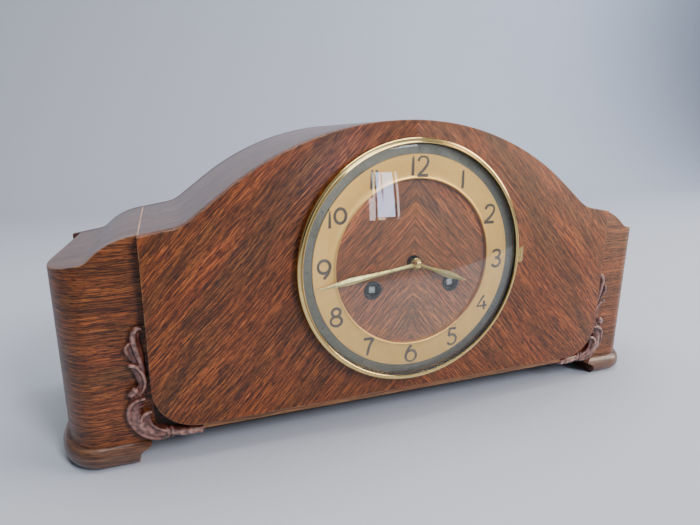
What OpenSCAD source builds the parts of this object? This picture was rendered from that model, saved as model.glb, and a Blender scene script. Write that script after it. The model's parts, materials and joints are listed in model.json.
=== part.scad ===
// Mantel clock with an arched case and an eight-day striking movement.
// X runs to the right of the dial, Y to the back of the case and Z up.
// The origin is on the surface the clock stands on, under the middle of its box.

/* [Case] */
// Height of the dial's centre over the surface it stands on
dial_z = 125.7; // [122:0.1:140]
// Height of the arch's top over the dial's centre
arch_rise = 101.7; // [98:0.1:112]
// Radius of the main arch
arch_r = 216; // [205:1:235]
// Slope where the arch ends, in degrees
arch_fall = 38; // [34:0.5:40]
// Length of the straight slope under the arch
slope_len = 27.3; // [22:0.1:30]
// Radius of the hollow where the slope meets the shoulder
hollow_r = 28; // [20:1:34]
// Slope of the shoulder, in degrees
shoulder_fall = 10; // [8:0.5:12]
// Half width of the middle of the case, up to the seam of each wing
centre_half = 186; // [184:1:200]
// Width of a wing's front, from the seam to where its end starts to turn
wing_flat = 33; // [30:1:45]
// Width of the turned end of a wing
wing_turn_w = 24.5; // [20:0.5:30]
// Depth of the turned end of a wing
wing_turn_d = 40; // [30:1:46]
// How far a wing's end leans in at the back
wing_taper = 6.5; // [2:0.5:9]
// Radius of the wing's rounded shoulder
wing_round_r = 47; // [40:1:52]
// Steepest slope of the wing's shoulder, in degrees
wing_fall = 45; // [40:1:48]
// Radius of the hollow at the foot of the wing's shoulder
wing_hollow_r = 13; // [9:0.5:16]
// Thickness of a wing's wall
wing_wall = 7; // [5:0.5:9]
// Thickness of the bent top
skin_t = 5; // [3:0.5:7]
// Thickness of the boards between the middle and the wings
side_t = 10; // [7:0.5:12]
// Thickness of the base board
base_t = 9; // [7:0.5:12]
// Thickness of the board behind the dial
board_t = 10; // [8:0.5:12]
// Depth inside the case, from the board behind the dial to the back board
inside_depth = 130; // [126:1:160]
// Thickness of the back board
back_t = 8; // [6:0.5:10]
// How far the back board stands out past a wing's end
back_proud = 5.5; // [2:0.5:8]

/* [Front panel] */
// Thickness of the veneered front panel
panel_t = 10; // [8:0.5:12]
// Height of the panel's lower edge over the surface it stands on
panel_low = 25.1; // [24.9:0.1:32]
// Radius of the panel's lower corners
panel_corner = 30; // [22:1:40]
// Depth of the strip under the panel
lip_d = 5; // [3:0.5:8]
// Height of the strip under the panel
lip_h = 6; // [4:0.5:7]

/* [Feet] */
// Thickness of a foot
foot_h = 15.5; // [12:0.5:20]
// Distance from the middle to a foot's inner end
foot_in = 197.6; // [190:0.1:205]
// How far a foot's rounded edge stands out past the wing
foot_proud = 5; // [3:0.5:7]
// Radius of the hollow in a foot's inner end
foot_cove = 7; // [5:0.5:9]

/* [Ornaments] */
// Height of the relief over the wing's front
relief_h = 7; // [5:0.5:9]
// Gap between an ornament and the panel's edge
relief_gap = 0.4; // [0.2:0.1:1]

/* [Dial] */
// Width of the gold chapter ring
chapter_w = 17.4; // [14:0.1:20]
// Width of the minute track round it
track_w = 6.9; // [5:0.1:8]
// How far the chapter ring stands out from the panel
chapter_proud = 3; // [2.2:0.1:3.4]
// Thickness of the dial's sheet metal
dial_sheet = 0.8; // [0.5:0.1:1.2]
// Radius of the hole for the hands
hand_hole_r = 5.5; // [4.5:0.1:7]
// Outer radius of a winding hole's eyelet
eyelet_r = 7; // [6:0.1:8]
// Width of an eyelet's rim
eyelet_rim = 1.8; // [1.2:0.1:2.4]

/* [Bezel] */
// Outer radius of the bezel
bezel_r = 90; // [89:0.5:92]
// How far the bezel stands out from the panel
bezel_proud = 8.3; // [7.5:0.1:10]
// Width of the bezel's rolled rim
bezel_rim = 3.9; // [3:0.1:4.2]
// Thickness of the glass
glass_t = 2; // [1.6:0.1:2.4]
// Rise of the domed glass
glass_rise = 10; // [9.5:0.5:13]
// Height of the hinge at the side of the bezel
bezel_hinge_h = 12; // [9:0.5:18]
// Radius of a hinge's knuckle
knuckle_r = 2; // [1.7:0.1:2.1]
// Radius of a hinge's pin
hinge_pin_r = 0.8; // [0.7:0.05:1]

/* [Hands] */
// How far the minute hand's tip reaches over the minute track
minute_over = 1; // [0:0.1:3]
// Width of the minute hand
minute_w = 5; // [4:0.1:6]
// Width of the hour hand
hour_w = 5.6; // [4:0.1:7]
// Thickness of a hand
hand_t = 0.7; // [0.4:0.1:0.9]
// Gap between the minute hand and the glass
hand_clear = 0.4; // [0.3:0.1:0.8]
// Distance from the hour hand's face to the minute hand's
hand_step = 1.6; // [1.4:0.1:2]
// Radius of the nut that holds the hands
nut_r = 3.2; // [2.4:0.1:3.4]
// Height of that nut
nut_h = 2.4; // [1.6:0.1:3]
// Length of the hour hand from its centre to its tip
hour_len = 47; // [40:0.5:56]
// Minutes shown
minutes_shown = 43.5; // [0:0.5:59.5]
// Angle of the hour hand from twelve, in degrees
hour_angle = 110.5; // [0:0.5:359.5]

/* [Back door] */
// Width of the opening in the back board
door_w = 171; // [140:1:180]
// Height of the opening in the back board
door_h = 145; // [120:1:150]
// Height of the opening's lower edge over the base board
door_low = 20; // [14:1:26]
// Radius of the opening's corners
door_corner = 12; // [6:1:18]
// Gap round the door
door_gap = 1; // [0.8:0.1:1.5]
// Thickness of the door
door_t = 6; // [4:0.5:6]

/* [Movement] */
// Distance from the board behind the dial to the front plate
plate_gap = 13; // [13:0.5:16]
// Thickness of a plate
plate_t = 1.8; // [1.5:0.1:2.2]
// Distance between the plates
pillar_len = 36; // [36:0.5:40]
// Sideways distance of a winding arbor from the centre
wind_x = 32.3; // [31.5:0.1:34]
// Distance of the winding arbors below the centre
wind_drop = 18; // [17:0.1:20]
// Side of a winding square
square_w = 4.5; // [4:0.1:4.6]
// Radius of a spring barrel
drum_r = 20; // [18:0.5:20.5]
// Length of the pendulum from its bend to the bob's centre
pendulum_len = 102; // [95:1:104]
// Radius of the pendulum bob
bob_r = 16; // [12:0.5:18]
// Radius of a gong rod
rod_r = 1.3; // [1:0.1:1.8]
// Length of the gong rods out of the block
rod_len = 220; // [190:1:230]
// Height of the gong rods over the base board
rod_z = 36; // [34:1:40]

/* [Hidden] */

// How far the shoulder's slope runs past the seam before it turns down
shoulder_out = 4;
// Clearance of the glass inside the rim, and of the spring ring behind it
glass_play = 0.4;
// Clearance between the minute track and the rim, and radius of the rim's rolled inner edge
track_play = 0.5;
roll_r = 0.8;
// How far the panel reaches past the seam on each side
panel_over = 0.5;
// Gap between the panel and the strip under it
lip_gap = 0.3;

// Depths, measured back from the front panel's face
wing_y = panel_t;
board_back = panel_t + board_t;
back_y = board_back + inside_depth;
back_face = back_y + back_t;
rim_in = bezel_r - bezel_rim;
track_r = rim_in - track_play;
chapter_r = track_r - track_w;
dial_in = chapter_r - chapter_w;
minute_len = chapter_r + minute_over;
lip_y = bezel_proud - roll_r * 2;
glass_edge = lip_y - glass_t - glass_play;
glass_apex = glass_edge + glass_rise + glass_t;
hardware_proud = 2 * knuckle_r + 0.1;
place_y = (glass_apex - back_face - hardware_proud) / 2;

// Heights
base_z = foot_h;
base_top = base_z + base_t;
peak_z = dial_z + arch_rise;

// Points of an arc from angle a0 to a1, in n steps
function arc(c, r, a0, a1, n) =
    [for (i = [0:n]) let (a = a0 + (a1 - a0) * i / n) [c[0] + r * cos(a), c[1] + r * sin(a)]];
function flip_x(points) = [for (i = [len(points) - 1:-1:0]) [-points[i][0], points[i][1]]];

// Right half of the case's top line: arch, slope, hollow, shoulder, round, hollow and wing end
arch_c = [0, peak_z - arch_r];
arch_end = arch_c + arch_r * [sin(arch_fall), cos(arch_fall)];
slope_end = arch_end + slope_len * [cos(arch_fall), -sin(arch_fall)];
hollow_c = slope_end + hollow_r * [sin(arch_fall), cos(arch_fall)];
hollow_end = hollow_c - hollow_r * [sin(shoulder_fall), cos(shoulder_fall)];
round_x = centre_half + shoulder_out;
round_start = [round_x, hollow_end[1] - (round_x - hollow_end[0]) * tan(shoulder_fall)];
round_c = round_start - wing_round_r * [sin(shoulder_fall), cos(shoulder_fall)];
round_end = round_c + wing_round_r * [sin(wing_fall), cos(wing_fall)];
foot_c = round_end + wing_hollow_r * [sin(wing_fall), cos(wing_fall)];
foot_end = foot_c - wing_hollow_r * [sin(shoulder_fall), cos(shoulder_fall)];
turn_x = centre_half + wing_flat;
wing_end = turn_x + wing_turn_w;
top_right = concat(
    arc(arch_c, arch_r, 90, 90 - arch_fall, 16),
    arc(hollow_c, hollow_r, 270 - arch_fall, 270 - shoulder_fall, 6),
    arc(round_c, wing_round_r, 90 - shoulder_fall, 90 - wing_fall, 8),
    arc(foot_c, wing_hollow_r, 270 - wing_fall, 270 - shoulder_fall, 4),
    [[wing_end + 20, foot_end[1] - (wing_end + 20 - foot_end[0]) * tan(shoulder_fall)]]
);
shoulder_z = hollow_end[1] - (centre_half - hollow_end[0]) * tan(shoulder_fall);

// Everything under the top line
module under_top() {
    right = top_right;
    low = [[wing_end + 20, 0], [-wing_end - 20, 0]];
    polygon(concat(flip_x([for (i = [1:len(right) - 1]) right[i]]), right, low));
}

// A band of the case between two distances from the middle and two heights
module band(x0, x1, z0, z1) {
    translate([x0, z0]) square([x1 - x0, z1 - z0]);
}

// Plate of thickness t whose front face lies y behind the panel's face, drawn in X and Z
module slab(y, t) {
    translate([0, y + t, 0]) rotate([90, 0, 0]) linear_extrude(t) children();
}

// Round piece along Y
module rod(x, z, y, len, r) {
    translate([x, y, z]) rotate([-90, 0, 0]) cylinder(h = len, r = r, $fn = 48);
}

// Moves a piece from the panel's face to the middle of the clock's box
module placed() {
    translate([0, place_y, 0]) children();
}

// Half of the case's plan, drawn in X and Y, grown by g, from x0 outwards
function wing_plan(g, x0) = concat(
    [[x0, wing_y - g]],
    [for (i = [0:10]) let (t = 9 * i)
        [turn_x + (wing_turn_w + g) * sin(t), wing_y + wing_turn_d - (wing_turn_d + g) * cos(t)]],
    [[wing_end + g, wing_y + wing_turn_d + 7], [wing_end - wing_taper + g, back_y], [x0, back_y]]
);

// ---------------------------------------------------------------- case

// Outline of the front panel: the case's top line over two rounded lower corners
module panel_outline() {
    edge = centre_half + panel_over;
    c = edge - panel_corner;
    difference() {
        intersection() {
            under_top();
            band(-edge, edge, panel_low, peak_z + 1);
        }
        for (s = [-1, 1]) {
            difference() {
                translate([s * edge, panel_low]) square(2 * panel_corner, center = true);
                translate([s * c, panel_low + panel_corner]) circle(r = panel_corner, $fn = 96);
            }
        }
    }
}

module front_panel() {
    color("#7a4a2c") placed() difference() {
        slab(0, panel_t) panel_outline();
        rod(0, dial_z, -1, panel_t + 2, hand_hole_r);
        for (s = [-1, 1]) rod(s * wind_x, dial_z - wind_drop, -1, panel_t + 2, eyelet_r - eyelet_rim);
    }
}

module front_board() {
    inner = centre_half - side_t;
    color("#5d3a22") placed() difference() {
        slab(panel_t, board_t) intersection() {
            translate([0, -skin_t]) under_top();
            band(-inner, inner, base_top, peak_z);
        }
        rod(0, dial_z, 0, board_back + 1, hand_hole_r);
        for (s = [-1, 1]) rod(s * wind_x, dial_z - wind_drop, 0, board_back + 1, eyelet_r - eyelet_rim);
    }
}

module front_lip() {
    half = centre_half - panel_corner;
    color("#a5764a") placed()
        slab(panel_t - lip_d, lip_d) band(-half, half, panel_low - lip_gap - lip_h, panel_low - lip_gap);
}

module top_skin() {
    color("#6b4128") placed()
        slab(wing_y, back_y - wing_y) difference() {
            intersection() {
                under_top();
                band(-centre_half, centre_half, shoulder_z - skin_t, peak_z + 1);
            }
            translate([0, -skin_t]) under_top();
        }
}

module side_walls() {
    color("#5d3a22") placed()
        slab(wing_y, back_y - wing_y) intersection() {
            translate([0, -skin_t]) under_top();
            for (s = [-1, 1]) translate([s * (centre_half - side_t / 2), (base_top + peak_z) / 2])
                square([side_t, peak_z - base_top], center = true);
        }
}

// Hollow wing on the right, open at the seam, the back and the bottom
module wing() {
    placed() difference() {
        intersection() {
            translate([0, 0, base_z]) linear_extrude(peak_z) polygon(wing_plan(0, centre_half));
            slab(0, back_y + 1) under_top();
        }
        intersection() {
            translate([0, 0, base_z - 1]) linear_extrude(peak_z) polygon(wing_plan(-wing_wall, centre_half - 1));
            slab(0, back_y + 1) translate([0, -wing_wall]) under_top();
        }
    }
}

module wing_right() {
    color("#6f4329") wing();
}

module wing_left() {
    color("#6f4329") mirror([1, 0, 0]) wing();
}

module base_board() {
    half = concat([[centre_half, wing_y]], wing_plan(-wing_wall, centre_half));
    color("#4a2e1c") placed() difference() {
        translate([0, 0, base_z]) linear_extrude(base_t) polygon(concat(half, flip_x(half)));
        for (x = screw_at) translate([x, (block_y0 + block_y1) / 2, base_z - 1])
            cylinder(h = base_t + 2, r = 2.05, $fn = 32);
    }
}

door_z = base_top + door_low;

// Opening of the back board and, a gap smaller, the door in it
module door_outline(gap) {
    w = door_w / 2 - door_corner;
    union() {
        translate([-w, door_z + gap]) square([2 * w, door_h - 2 * gap]);
        translate([-door_w / 2 + gap, door_z + door_corner]) square([door_w - 2 * gap, door_h - 2 * door_corner]);
        for (s = [-1, 1], z = [door_z + door_corner, door_z + door_h - door_corner])
            translate([s * w, z]) circle(r = door_corner - gap, $fn = 48);
    }
}

back_half = wing_end - wing_taper + back_proud;

module back_board() {
    color("#4d3120") placed() difference() {
        slab(back_y, back_t) difference() {
            intersection() {
                under_top();
                band(-back_half, back_half, base_z, peak_z + 1);
            }
            door_outline(0);
        }
        rod(button_x, button_z, back_y - 1, back_t + 2, button_screw_r);
    }
}

// Foot on the right: a rounded edge all round the wing and a hollow inner end
module foot() {
    placed() difference() {
        union() {
            linear_extrude(1.5) polygon(wing_plan(foot_proud * 0.3, foot_in));
            hull() for (i = [0:6]) {
                z = 1 + (foot_h - 1) * i / 6;
                g = foot_proud * (0.3 + 0.7 * sqrt(1 - pow(abs(2 * i / 6 - 1), 2.2)));
                translate([0, 0, min(z, foot_h - 0.1)]) linear_extrude(0.1)
                    polygon(wing_plan(g, foot_in - 8));
            }
        }
        translate([foot_in - 10, wing_y - 20, -1]) cube([10, back_y + 20, foot_h - 4]);
        translate([foot_in - foot_cove + 1.5, wing_y - 20, foot_h / 2 - 2]) rotate([-90, 0, 0])
            cylinder(h = back_y + 20, r = foot_cove, $fn = 48);
    }
}

module foot_right() {
    color("#5a4334") foot();
}

module foot_left() {
    color("#5a4334") mirror([1, 0, 0]) foot();
}

// Stem of the scroll: out from the panel's corner, up from its lower edge, and radius
scroll = [[1.5, 73, 2.2], [8, 68, 3], [9, 57, 3.4], [5, 45, 3.4], [4, 32, 3.2], [5.5, 20, 3.6],
    [12, 12, 5.5], [10, 2, 6.5], [2, -5, 5.5], [-8, -8, 4], [-20, -8.6, 2.8], [-31, -8, 2.6]];
// Side leaves and the knob, each from a point on the stem to its tip
leaves = [[[9, 57, 2.5], [14, 60, 1.6]], [[5, 38, 2.6], [11.5, 47, 2]], [[8, 18, 3], [13.5, 24, 3.6]],
    [[2, -3, 3.5], [-1, 9, 2.2]]];

module leaf_link(a, b) {
    hull() for (p = [a, b]) translate([centre_half + p[0], panel_low + p[1]]) circle(r = p[2], $fn = 24);
}

module ornament() {
    placed() slab(wing_y - relief_h, relief_h) difference() {
        union() {
            for (i = [0:len(scroll) - 2]) leaf_link(scroll[i], scroll[i + 1]);
            for (leaf = leaves) leaf_link(leaf[0], leaf[1]);
        }
        offset(delta = relief_gap) panel_outline();
        band(0, centre_half - panel_corner + 0.2, 0, panel_low + 20);
        band(0, wing_end, 0, base_z + 0.3);
    }
}

module ornament_right() {
    color("#5b3327") ornament();
}

module ornament_left() {
    color("#5b3327") mirror([1, 0, 0]) ornament();
}

// Three-cornered blocks glued in the corner of the base and the board behind the dial
module glue_blocks() {
    leg = 14;
    color("#c9a77c") placed() for (x = [-150, -105, 95, 140])
        translate([x, board_back, base_top]) rotate([90, 0, 90]) linear_extrude(30)
            polygon([[0, 0], [leg, 0], [0, leg]]);
}

// ---------------------------------------------------------------- back door

hinge_y = back_face + knuckle_r + 0.1;
door_hinge_x = (door_gap - door_w) / 2 - door_gap;
door_hinge_len = 24;
door_hinge_z = [door_z + 22, door_z + door_h - 22];
button_x = door_w / 2 + 6;
button_z = door_z + door_h / 2;
button_screw_r = 1.5;
button_len = 13;

module back_door() {
    color("#553722") placed() slab(back_face - door_t, door_t) door_outline(door_gap);
}

// Round knuckle along Z with a bore
module knuckle(x, y, z, len, bore) {
    translate([x, y, z]) difference() {
        cylinder(h = len, r = knuckle_r, $fn = 32);
        translate([0, 0, -1]) cylinder(h = len + 2, r = bore, $fn = 32);
    }
}

// Fixed leaves, their outer knuckles and the pins
module door_hinge_leaves() {
    third = door_hinge_len / 3;
    color("#a98f55") placed() for (z = door_hinge_z) translate([0, 0, z - door_hinge_len / 2]) {
        difference() {
            translate([door_hinge_x - 12, back_face, 0]) cube([12, 0.8, door_hinge_len]);
            translate([door_hinge_x, hinge_y, third - 0.2]) cylinder(h = third + 0.4, r = knuckle_r + 0.3, $fn = 32);
        }
        for (k = [0, 2 * third]) translate([door_hinge_x, hinge_y, k])
            cylinder(h = third - (k == 0 ? 0.2 : 0), r = knuckle_r, $fn = 32);
        translate([door_hinge_x, hinge_y, 0]) cylinder(h = door_hinge_len, r = hinge_pin_r, $fn = 32);
    }
}

// Middle knuckles with the leaves that are screwed to the door
module door_hinge_knuckles() {
    third = door_hinge_len / 3;
    bore = hinge_pin_r + 0.05;
    color("#a98f55") placed() for (z = door_hinge_z) {
        knuckle(door_hinge_x, hinge_y, z - third / 2 + 0.1, third - 0.3, bore);
        difference() {
            translate([door_hinge_x + 1, back_face, z - third / 2 + 0.1]) cube([13, 0.8, third - 0.3]);
            translate([door_hinge_x, hinge_y, z - third]) cylinder(h = 2 * third, r = bore + 0.2, $fn = 32);
        }
    }
}

module turn_button() {
    color("#a98f55") placed() difference() {
        translate([0, back_face + 0.2, 0]) slab(0, 2) translate([button_x, button_z - button_len]) union() {
            translate([-3.5, 0]) square([7, button_len]);
            translate([0, button_len]) circle(r = 5, $fn = 32);
            circle(r = 3.5, $fn = 32);
        }
        rod(button_x, button_z, back_face - 1, 6, button_screw_r + 0.05);
    }
}

module button_screw() {
    color("#b9b4a6") placed() {
        rod(button_x, button_z, back_y, back_t + 2.4, button_screw_r);
        rod(button_x, button_z, back_face + 2.4, hardware_proud - 2.4, 3);
    }
}

// ---------------------------------------------------------------- dial and bezel

// Ring turned about the dial's axis: points are [radius, distance in front of the panel]
module turned(points) {
    placed() translate([0, 0, dial_z]) rotate([90, 0, 0]) rotate_extrude($fn = 180) polygon(points);
}

module chapter_ring() {
    s = dial_sheet;
    color("#c9a65a") turned([[dial_in, 0], [dial_in, 1.4], [dial_in + 0.8, chapter_proud - 0.6],
        [dial_in + 2, chapter_proud], [chapter_r, chapter_proud], [chapter_r, chapter_proud - s],
        [dial_in + 2.2, chapter_proud - s], [dial_in + 1.6, chapter_proud - 1.4], [dial_in + 1.4, 0]]);
}

module minute_track() {
    y = chapter_proud - dial_sheet;
    color("#8d8c80") turned([[chapter_r - 3, y], [track_r, y - 0.2], [track_r, 0],
        [track_r - dial_sheet, 0], [track_r - dial_sheet, y - 1], [chapter_r - 3, y - 0.8]]);
}

module winding_eyelets() {
    bore = eyelet_r - eyelet_rim - 0.6;
    color("#33302c") placed() for (s = [-1, 1]) difference() {
        union() {
            rod(s * wind_x, dial_z - wind_drop, -0.9, 0.9, eyelet_r);
            rod(s * wind_x, dial_z - wind_drop, -0.5, 6, eyelet_r - eyelet_rim - 0.02);
        }
        rod(s * wind_x, dial_z - wind_drop, -2, 9, bore);
    }
}

// Rolled rim with a wall down to the panel
module bezel_ring() {
    f = bezel_proud;
    color("#c2a04e") turned(concat(
        [[bezel_r - 0.5, 0.1]],
        arc([bezel_r - 2, f - 3], 2, -20, 90, 8),
        arc([rim_in + roll_r, f - roll_r], roll_r, 90, 270, 8),
        [[rim_in + 1.2, lip_y], [rim_in + 1.2, 0.1]]));
}

glass_r = rim_in + 0.9;
glass_dome = (pow(glass_r, 2) + pow(glass_rise, 2)) / (2 * glass_rise);
glass_span = asin(glass_r / glass_dome);

// Height of the glass's inner face over the panel, at a distance from the middle
function glass_at(r) = glass_edge + glass_rise - glass_dome + sqrt(pow(glass_dome, 2) - pow(r, 2));

// Domed glass: two arcs about one axis
module glass() {
    c = glass_edge + glass_rise - glass_dome;
    color("#cfe0dc", 0.3) turned(concat(
        arc([0, c + glass_t], glass_dome, 90 - glass_span, 90, 14),
        arc([0, c], glass_dome, 90, 90 - glass_span, 14)));
}

// Spring ring that holds the glass in the bezel
module glass_clip() {
    color("#3a3833") turned([[rim_in - 0.6, glass_edge - 0.9], [glass_r + 0.2, glass_edge - 0.9],
        [glass_r + 0.2, glass_edge - 0.1], [rim_in - 0.6, glass_edge - 0.1]]);
}

bezel_hinge_x = bezel_r + 3.6;
bezel_hinge_y = -2.6;
bezel_third = bezel_hinge_h / 3;
bezel_hinge_z = dial_z - bezel_hinge_h / 2;

module bezel_hinge_leaf() {
    color("#a98f55") placed() {
        difference() {
            translate([bezel_hinge_x, -0.8, bezel_hinge_z]) cube([5, 0.8, bezel_hinge_h]);
            translate([bezel_hinge_x, bezel_hinge_y, bezel_hinge_z + bezel_third - 0.2])
                cylinder(h = bezel_third + 0.4, r = knuckle_r + 0.3, $fn = 32);
        }
        for (k = [0, 2]) translate([bezel_hinge_x, bezel_hinge_y, bezel_hinge_z + k * bezel_third])
            cylinder(h = bezel_third - (k == 0 ? 0.2 : 0), r = knuckle_r, $fn = 32);
        translate([bezel_hinge_x, bezel_hinge_y, bezel_hinge_z]) cylinder(h = bezel_hinge_h, r = hinge_pin_r, $fn = 32);
    }
}

module bezel_knuckle() {
    z = bezel_hinge_z + bezel_third + 0.1;
    h = bezel_third - 0.3;
    bore = hinge_pin_r + 0.05;
    color("#a98f55") placed() {
        knuckle(bezel_hinge_x, bezel_hinge_y, z, h, bore);
        difference() {
            translate([bezel_r - 0.6, bezel_hinge_y - 1.2, z]) cube([bezel_hinge_x - bezel_r, 1.4, h]);
            translate([bezel_hinge_x, bezel_hinge_y, z - 1]) cylinder(h = h + 2, r = bore + 0.2, $fn = 32);
            translate([0, 2, dial_z]) rotate([90, 0, 0]) cylinder(h = 20, r = bezel_r, $fn = 180);
        }
    }
}

// ---------------------------------------------------------------- hands and motion work

arbor_r = 1;
cannon_r = 2;
hour_pipe_r = 2.9;
fit = 0.04;
minute_y = hand_clear - glass_at(minute_len);
hour_y = minute_y + hand_step;
hour_hub_r = hour_pipe_r + 1.5;
minute_hub_r = cannon_r + 1.4;

// Hand with a pointed blade, drawn towards twelve
module blade(len, w, hub_r) {
    union() {
        circle(r = hub_r, $fn = 48);
        polygon([[1, 0], [1.1, len * 0.3], [w / 2, len * 0.68], [0.25, len], [-0.25, len],
            [-w / 2, len * 0.68], [-1.1, len * 0.3], [-1, 0]]);
    }
}

module minute_hand() {
    color("#b99a52") placed() translate([0, 0, dial_z]) difference() {
        slab(minute_y, hand_t) rotate(-6 * minutes_shown) blade(minute_len, minute_w, minute_hub_r);
        rod(0, 0, minute_y - 1, 3, cannon_r);
    }
}

module hour_hand() {
    color("#b99a52") placed() translate([0, 0, dial_z]) difference() {
        slab(hour_y, hand_t) rotate(-hour_angle) blade(hour_len, hour_w, hour_hub_r);
        rod(0, 0, hour_y - 1, 3, hour_pipe_r);
    }
}

module hand_nut() {
    color("#c2a04e") placed() difference() {
        rod(0, dial_z, minute_y - nut_h, nut_h, nut_r);
        rod(0, dial_z, minute_y - nut_h - 1, nut_h + 2, arbor_r + fit);
    }
}

// Closed outline of teeth: rows of [radius, half width as a share of half the pitch]
function toothed(n, rows) =
    [for (i = [0:n - 1], k = [0:2 * len(rows) - 1])
        let (s = k < len(rows) ? -1 : 1, row = k < len(rows) ? rows[k] : rows[2 * len(rows) - 1 - k])
        let (a = (2 * i + s * row[1]) * 180 / n)
        [row[0] * cos(a), row[0] * sin(a)]];

function pitch_r(n, m) = n * m / 2;

// Wheel with thin pointed teeth, turned so that a tooth stands at angle a
module wheel_teeth(n, m, a) {
    r = pitch_r(n, m);
    rotate(a) polygon(toothed(n, [[r - 1.4 * m, 0.4], [r, 0.34], [r + 0.55 * m, 0.22], [r + 0.95 * m, 0.08]]));
}

// Pinion with straight leaves, turned so that a gap stands at angle a
module pinion_leaves(n, m, a) {
    r = pitch_r(n, m);
    rotate(a + 180 / n) polygon(toothed(n, [[r - 1.3 * m, 0.32], [r, 0.32], [r + 0.35 * m, 0.24],
        [r + 0.6 * m, 0.1]]));
}

// Toothed disc with a bore and openings between its spokes
module crossed_wheel(n, m, a, bore, spokes) {
    r = pitch_r(n, m);
    rim = r - 1.4 * m - 1.6;
    hub = max(2.6, r * 0.2);
    difference() {
        wheel_teeth(n, m, a);
        circle(r = bore, $fn = 32);
        if (spokes > 0) for (i = [0:spokes - 1]) rotate(360 * i / spokes) difference() {
            polygon(concat([[1.2, hub * 0.6]], arc([0, 0], rim, 12, 360 / spokes - 12, 6),
                [[hub * 0.3, hub * 1.1]]));
            circle(r = hub, $fn = 32);
        }
    }
}

// Angle from point a to point b
function dir(a, b) = atan2(b[1] - a[1], b[0] - a[0]);
// Point at ra from a and rb from b, left of the line from a to b when side is 1
function meet(a, b, ra, rb, side) =
    let (d = norm(b - a), t = (d * d + ra * ra - rb * rb) / (2 * d), h = sqrt(ra * ra - t * t))
    a + (b - a) * t / d + side * h * [a[1] - b[1], b[0] - a[0]] / d;

// Teeth and modules of the trains
barrel_n = 80;
barrel_m = 0.65;
second_pn = 10;
second_n = 64;
second_m = 0.5;
centre_pn = 12;
centre_n = 84;
centre_m = 0.36;
third_pn = 7;
third_n = 78;
third_m = 0.32;
escape_pn = 6;
escape_n = 36;
escape_r = 9;
pin_n = 72;
pin_m = 0.45;
lock_pn = 8;
lock_n = 60;
lock_m = 0.36;
fly_pn = 6;
cannon_n = 12;
minute_n = 36;
cannon_m = 0.5;
minute_pn = 10;
hour_n = 40;
hour_m = 0.48;

// Places of the arbors, from the dial's centre
at_centre = [0, 0];
at_going = [wind_x, -wind_drop];
at_strike = [-wind_x, -wind_drop];
barrel_reach = pitch_r(barrel_n + second_pn, barrel_m);
at_second = meet(at_centre, at_going, pitch_r(second_n + centre_pn, second_m), barrel_reach, 1);
third_reach = pitch_r(centre_n + third_pn, centre_m);
at_third = third_reach * [cos(100), sin(100)];
escape_reach = pitch_r(third_n + escape_pn, third_m);
at_escape = [0, at_third[1] + sqrt(pow(escape_reach, 2) - pow(at_third[0], 2))];
at_anchor = at_escape + [0, 13.1];
at_pin = at_strike + barrel_reach * [cos(75), sin(75)];
at_lock = at_pin + pitch_r(pin_n + lock_pn, pin_m) * [cos(80), sin(80)];
at_fly = at_lock + pitch_r(lock_n + fly_pn, lock_m) * [cos(110), sin(110)];
at_motion = [0, pitch_r(cannon_n + minute_n, cannon_m)];
at_hammer = at_strike - [19.7, 22];

// Depths of the movement
plate_y = board_back + plate_gap;
inner_y = plate_y + plate_t;
rear_y = inner_y + pillar_len;
rear_face = rear_y + plate_t;
pivot_r = 0.6;

// Slab of the movement, drawn about the dial's centre, from y forward of the front plate's inner face
module layer(y, t) {
    placed() slab(inner_y + y, t) translate([0, dial_z]) children();
}

// Arbor along Y through a point of the movement
module arbor(p, y, len, r) {
    placed() rod(p[0], dial_z + p[1], inner_y + y, len, r);
}

// Pivoted arbor that runs in both plates
module pivoted(p, r) {
    arbor(p, -plate_t, pillar_len + 2 * plate_t, pivot_r);
    arbor(p, 0.4, pillar_len - 0.8, r);
}

module cannon_pinion() {
    gap = dir(at_centre, at_motion);
    color("#8f8a80") placed() difference() {
        union() {
            rod(0, dial_z, minute_y, plate_y - 1 - minute_y, cannon_r - 0.02);
            slab(plate_y - 3.5, 2.5) translate([0, dial_z]) pinion_leaves(cannon_n, cannon_m, gap);
        }
        rod(0, dial_z, minute_y - 1, plate_y - minute_y + 2, arbor_r + fit);
    }
}

module minute_wheel() {
    back = dir(at_motion, at_centre);
    x = at_motion[0];
    z = dial_z + at_motion[1];
    color("#b39348") placed() difference() {
        union() {
            slab(plate_y - 3, 1.2) translate([x, z]) wheel_teeth(minute_n, cannon_m, back);
            slab(plate_y - 8.5, 5.5) translate([x, z]) pinion_leaves(minute_pn, hour_m, back);
        }
        rod(x, z, plate_y - 10, 12, arbor_r + fit);
    }
}

module hour_wheel() {
    up = dir(at_centre, at_motion);
    color("#b39348") placed() difference() {
        union() {
            slab(plate_y - 7, 1.4) translate([0, dial_z]) wheel_teeth(hour_n, hour_m, up);
            rod(0, dial_z, hour_y, plate_y - 6 - hour_y, hour_pipe_r - 0.02);
        }
        rod(0, dial_z, hour_y - 1, plate_y - hour_y, cannon_r + fit);
    }
}

// ---------------------------------------------------------------- movement

plate_half = wind_x + 24.7;
plate_top = at_anchor[1] + 10;
plate_low = -wind_drop - 28;
pillar_in = 4;
pillar_at = [[plate_half - pillar_in, plate_top - pillar_in], [-plate_half + pillar_in, plate_top - pillar_in],
    [plate_half - pillar_in, plate_low + pillar_in + 2], [at_strike[0] + 18.3, plate_low + pillar_in]];

module plate_outline() {
    translate([-plate_half, plate_low]) square([2 * plate_half, plate_top - plate_low]);
}

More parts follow.
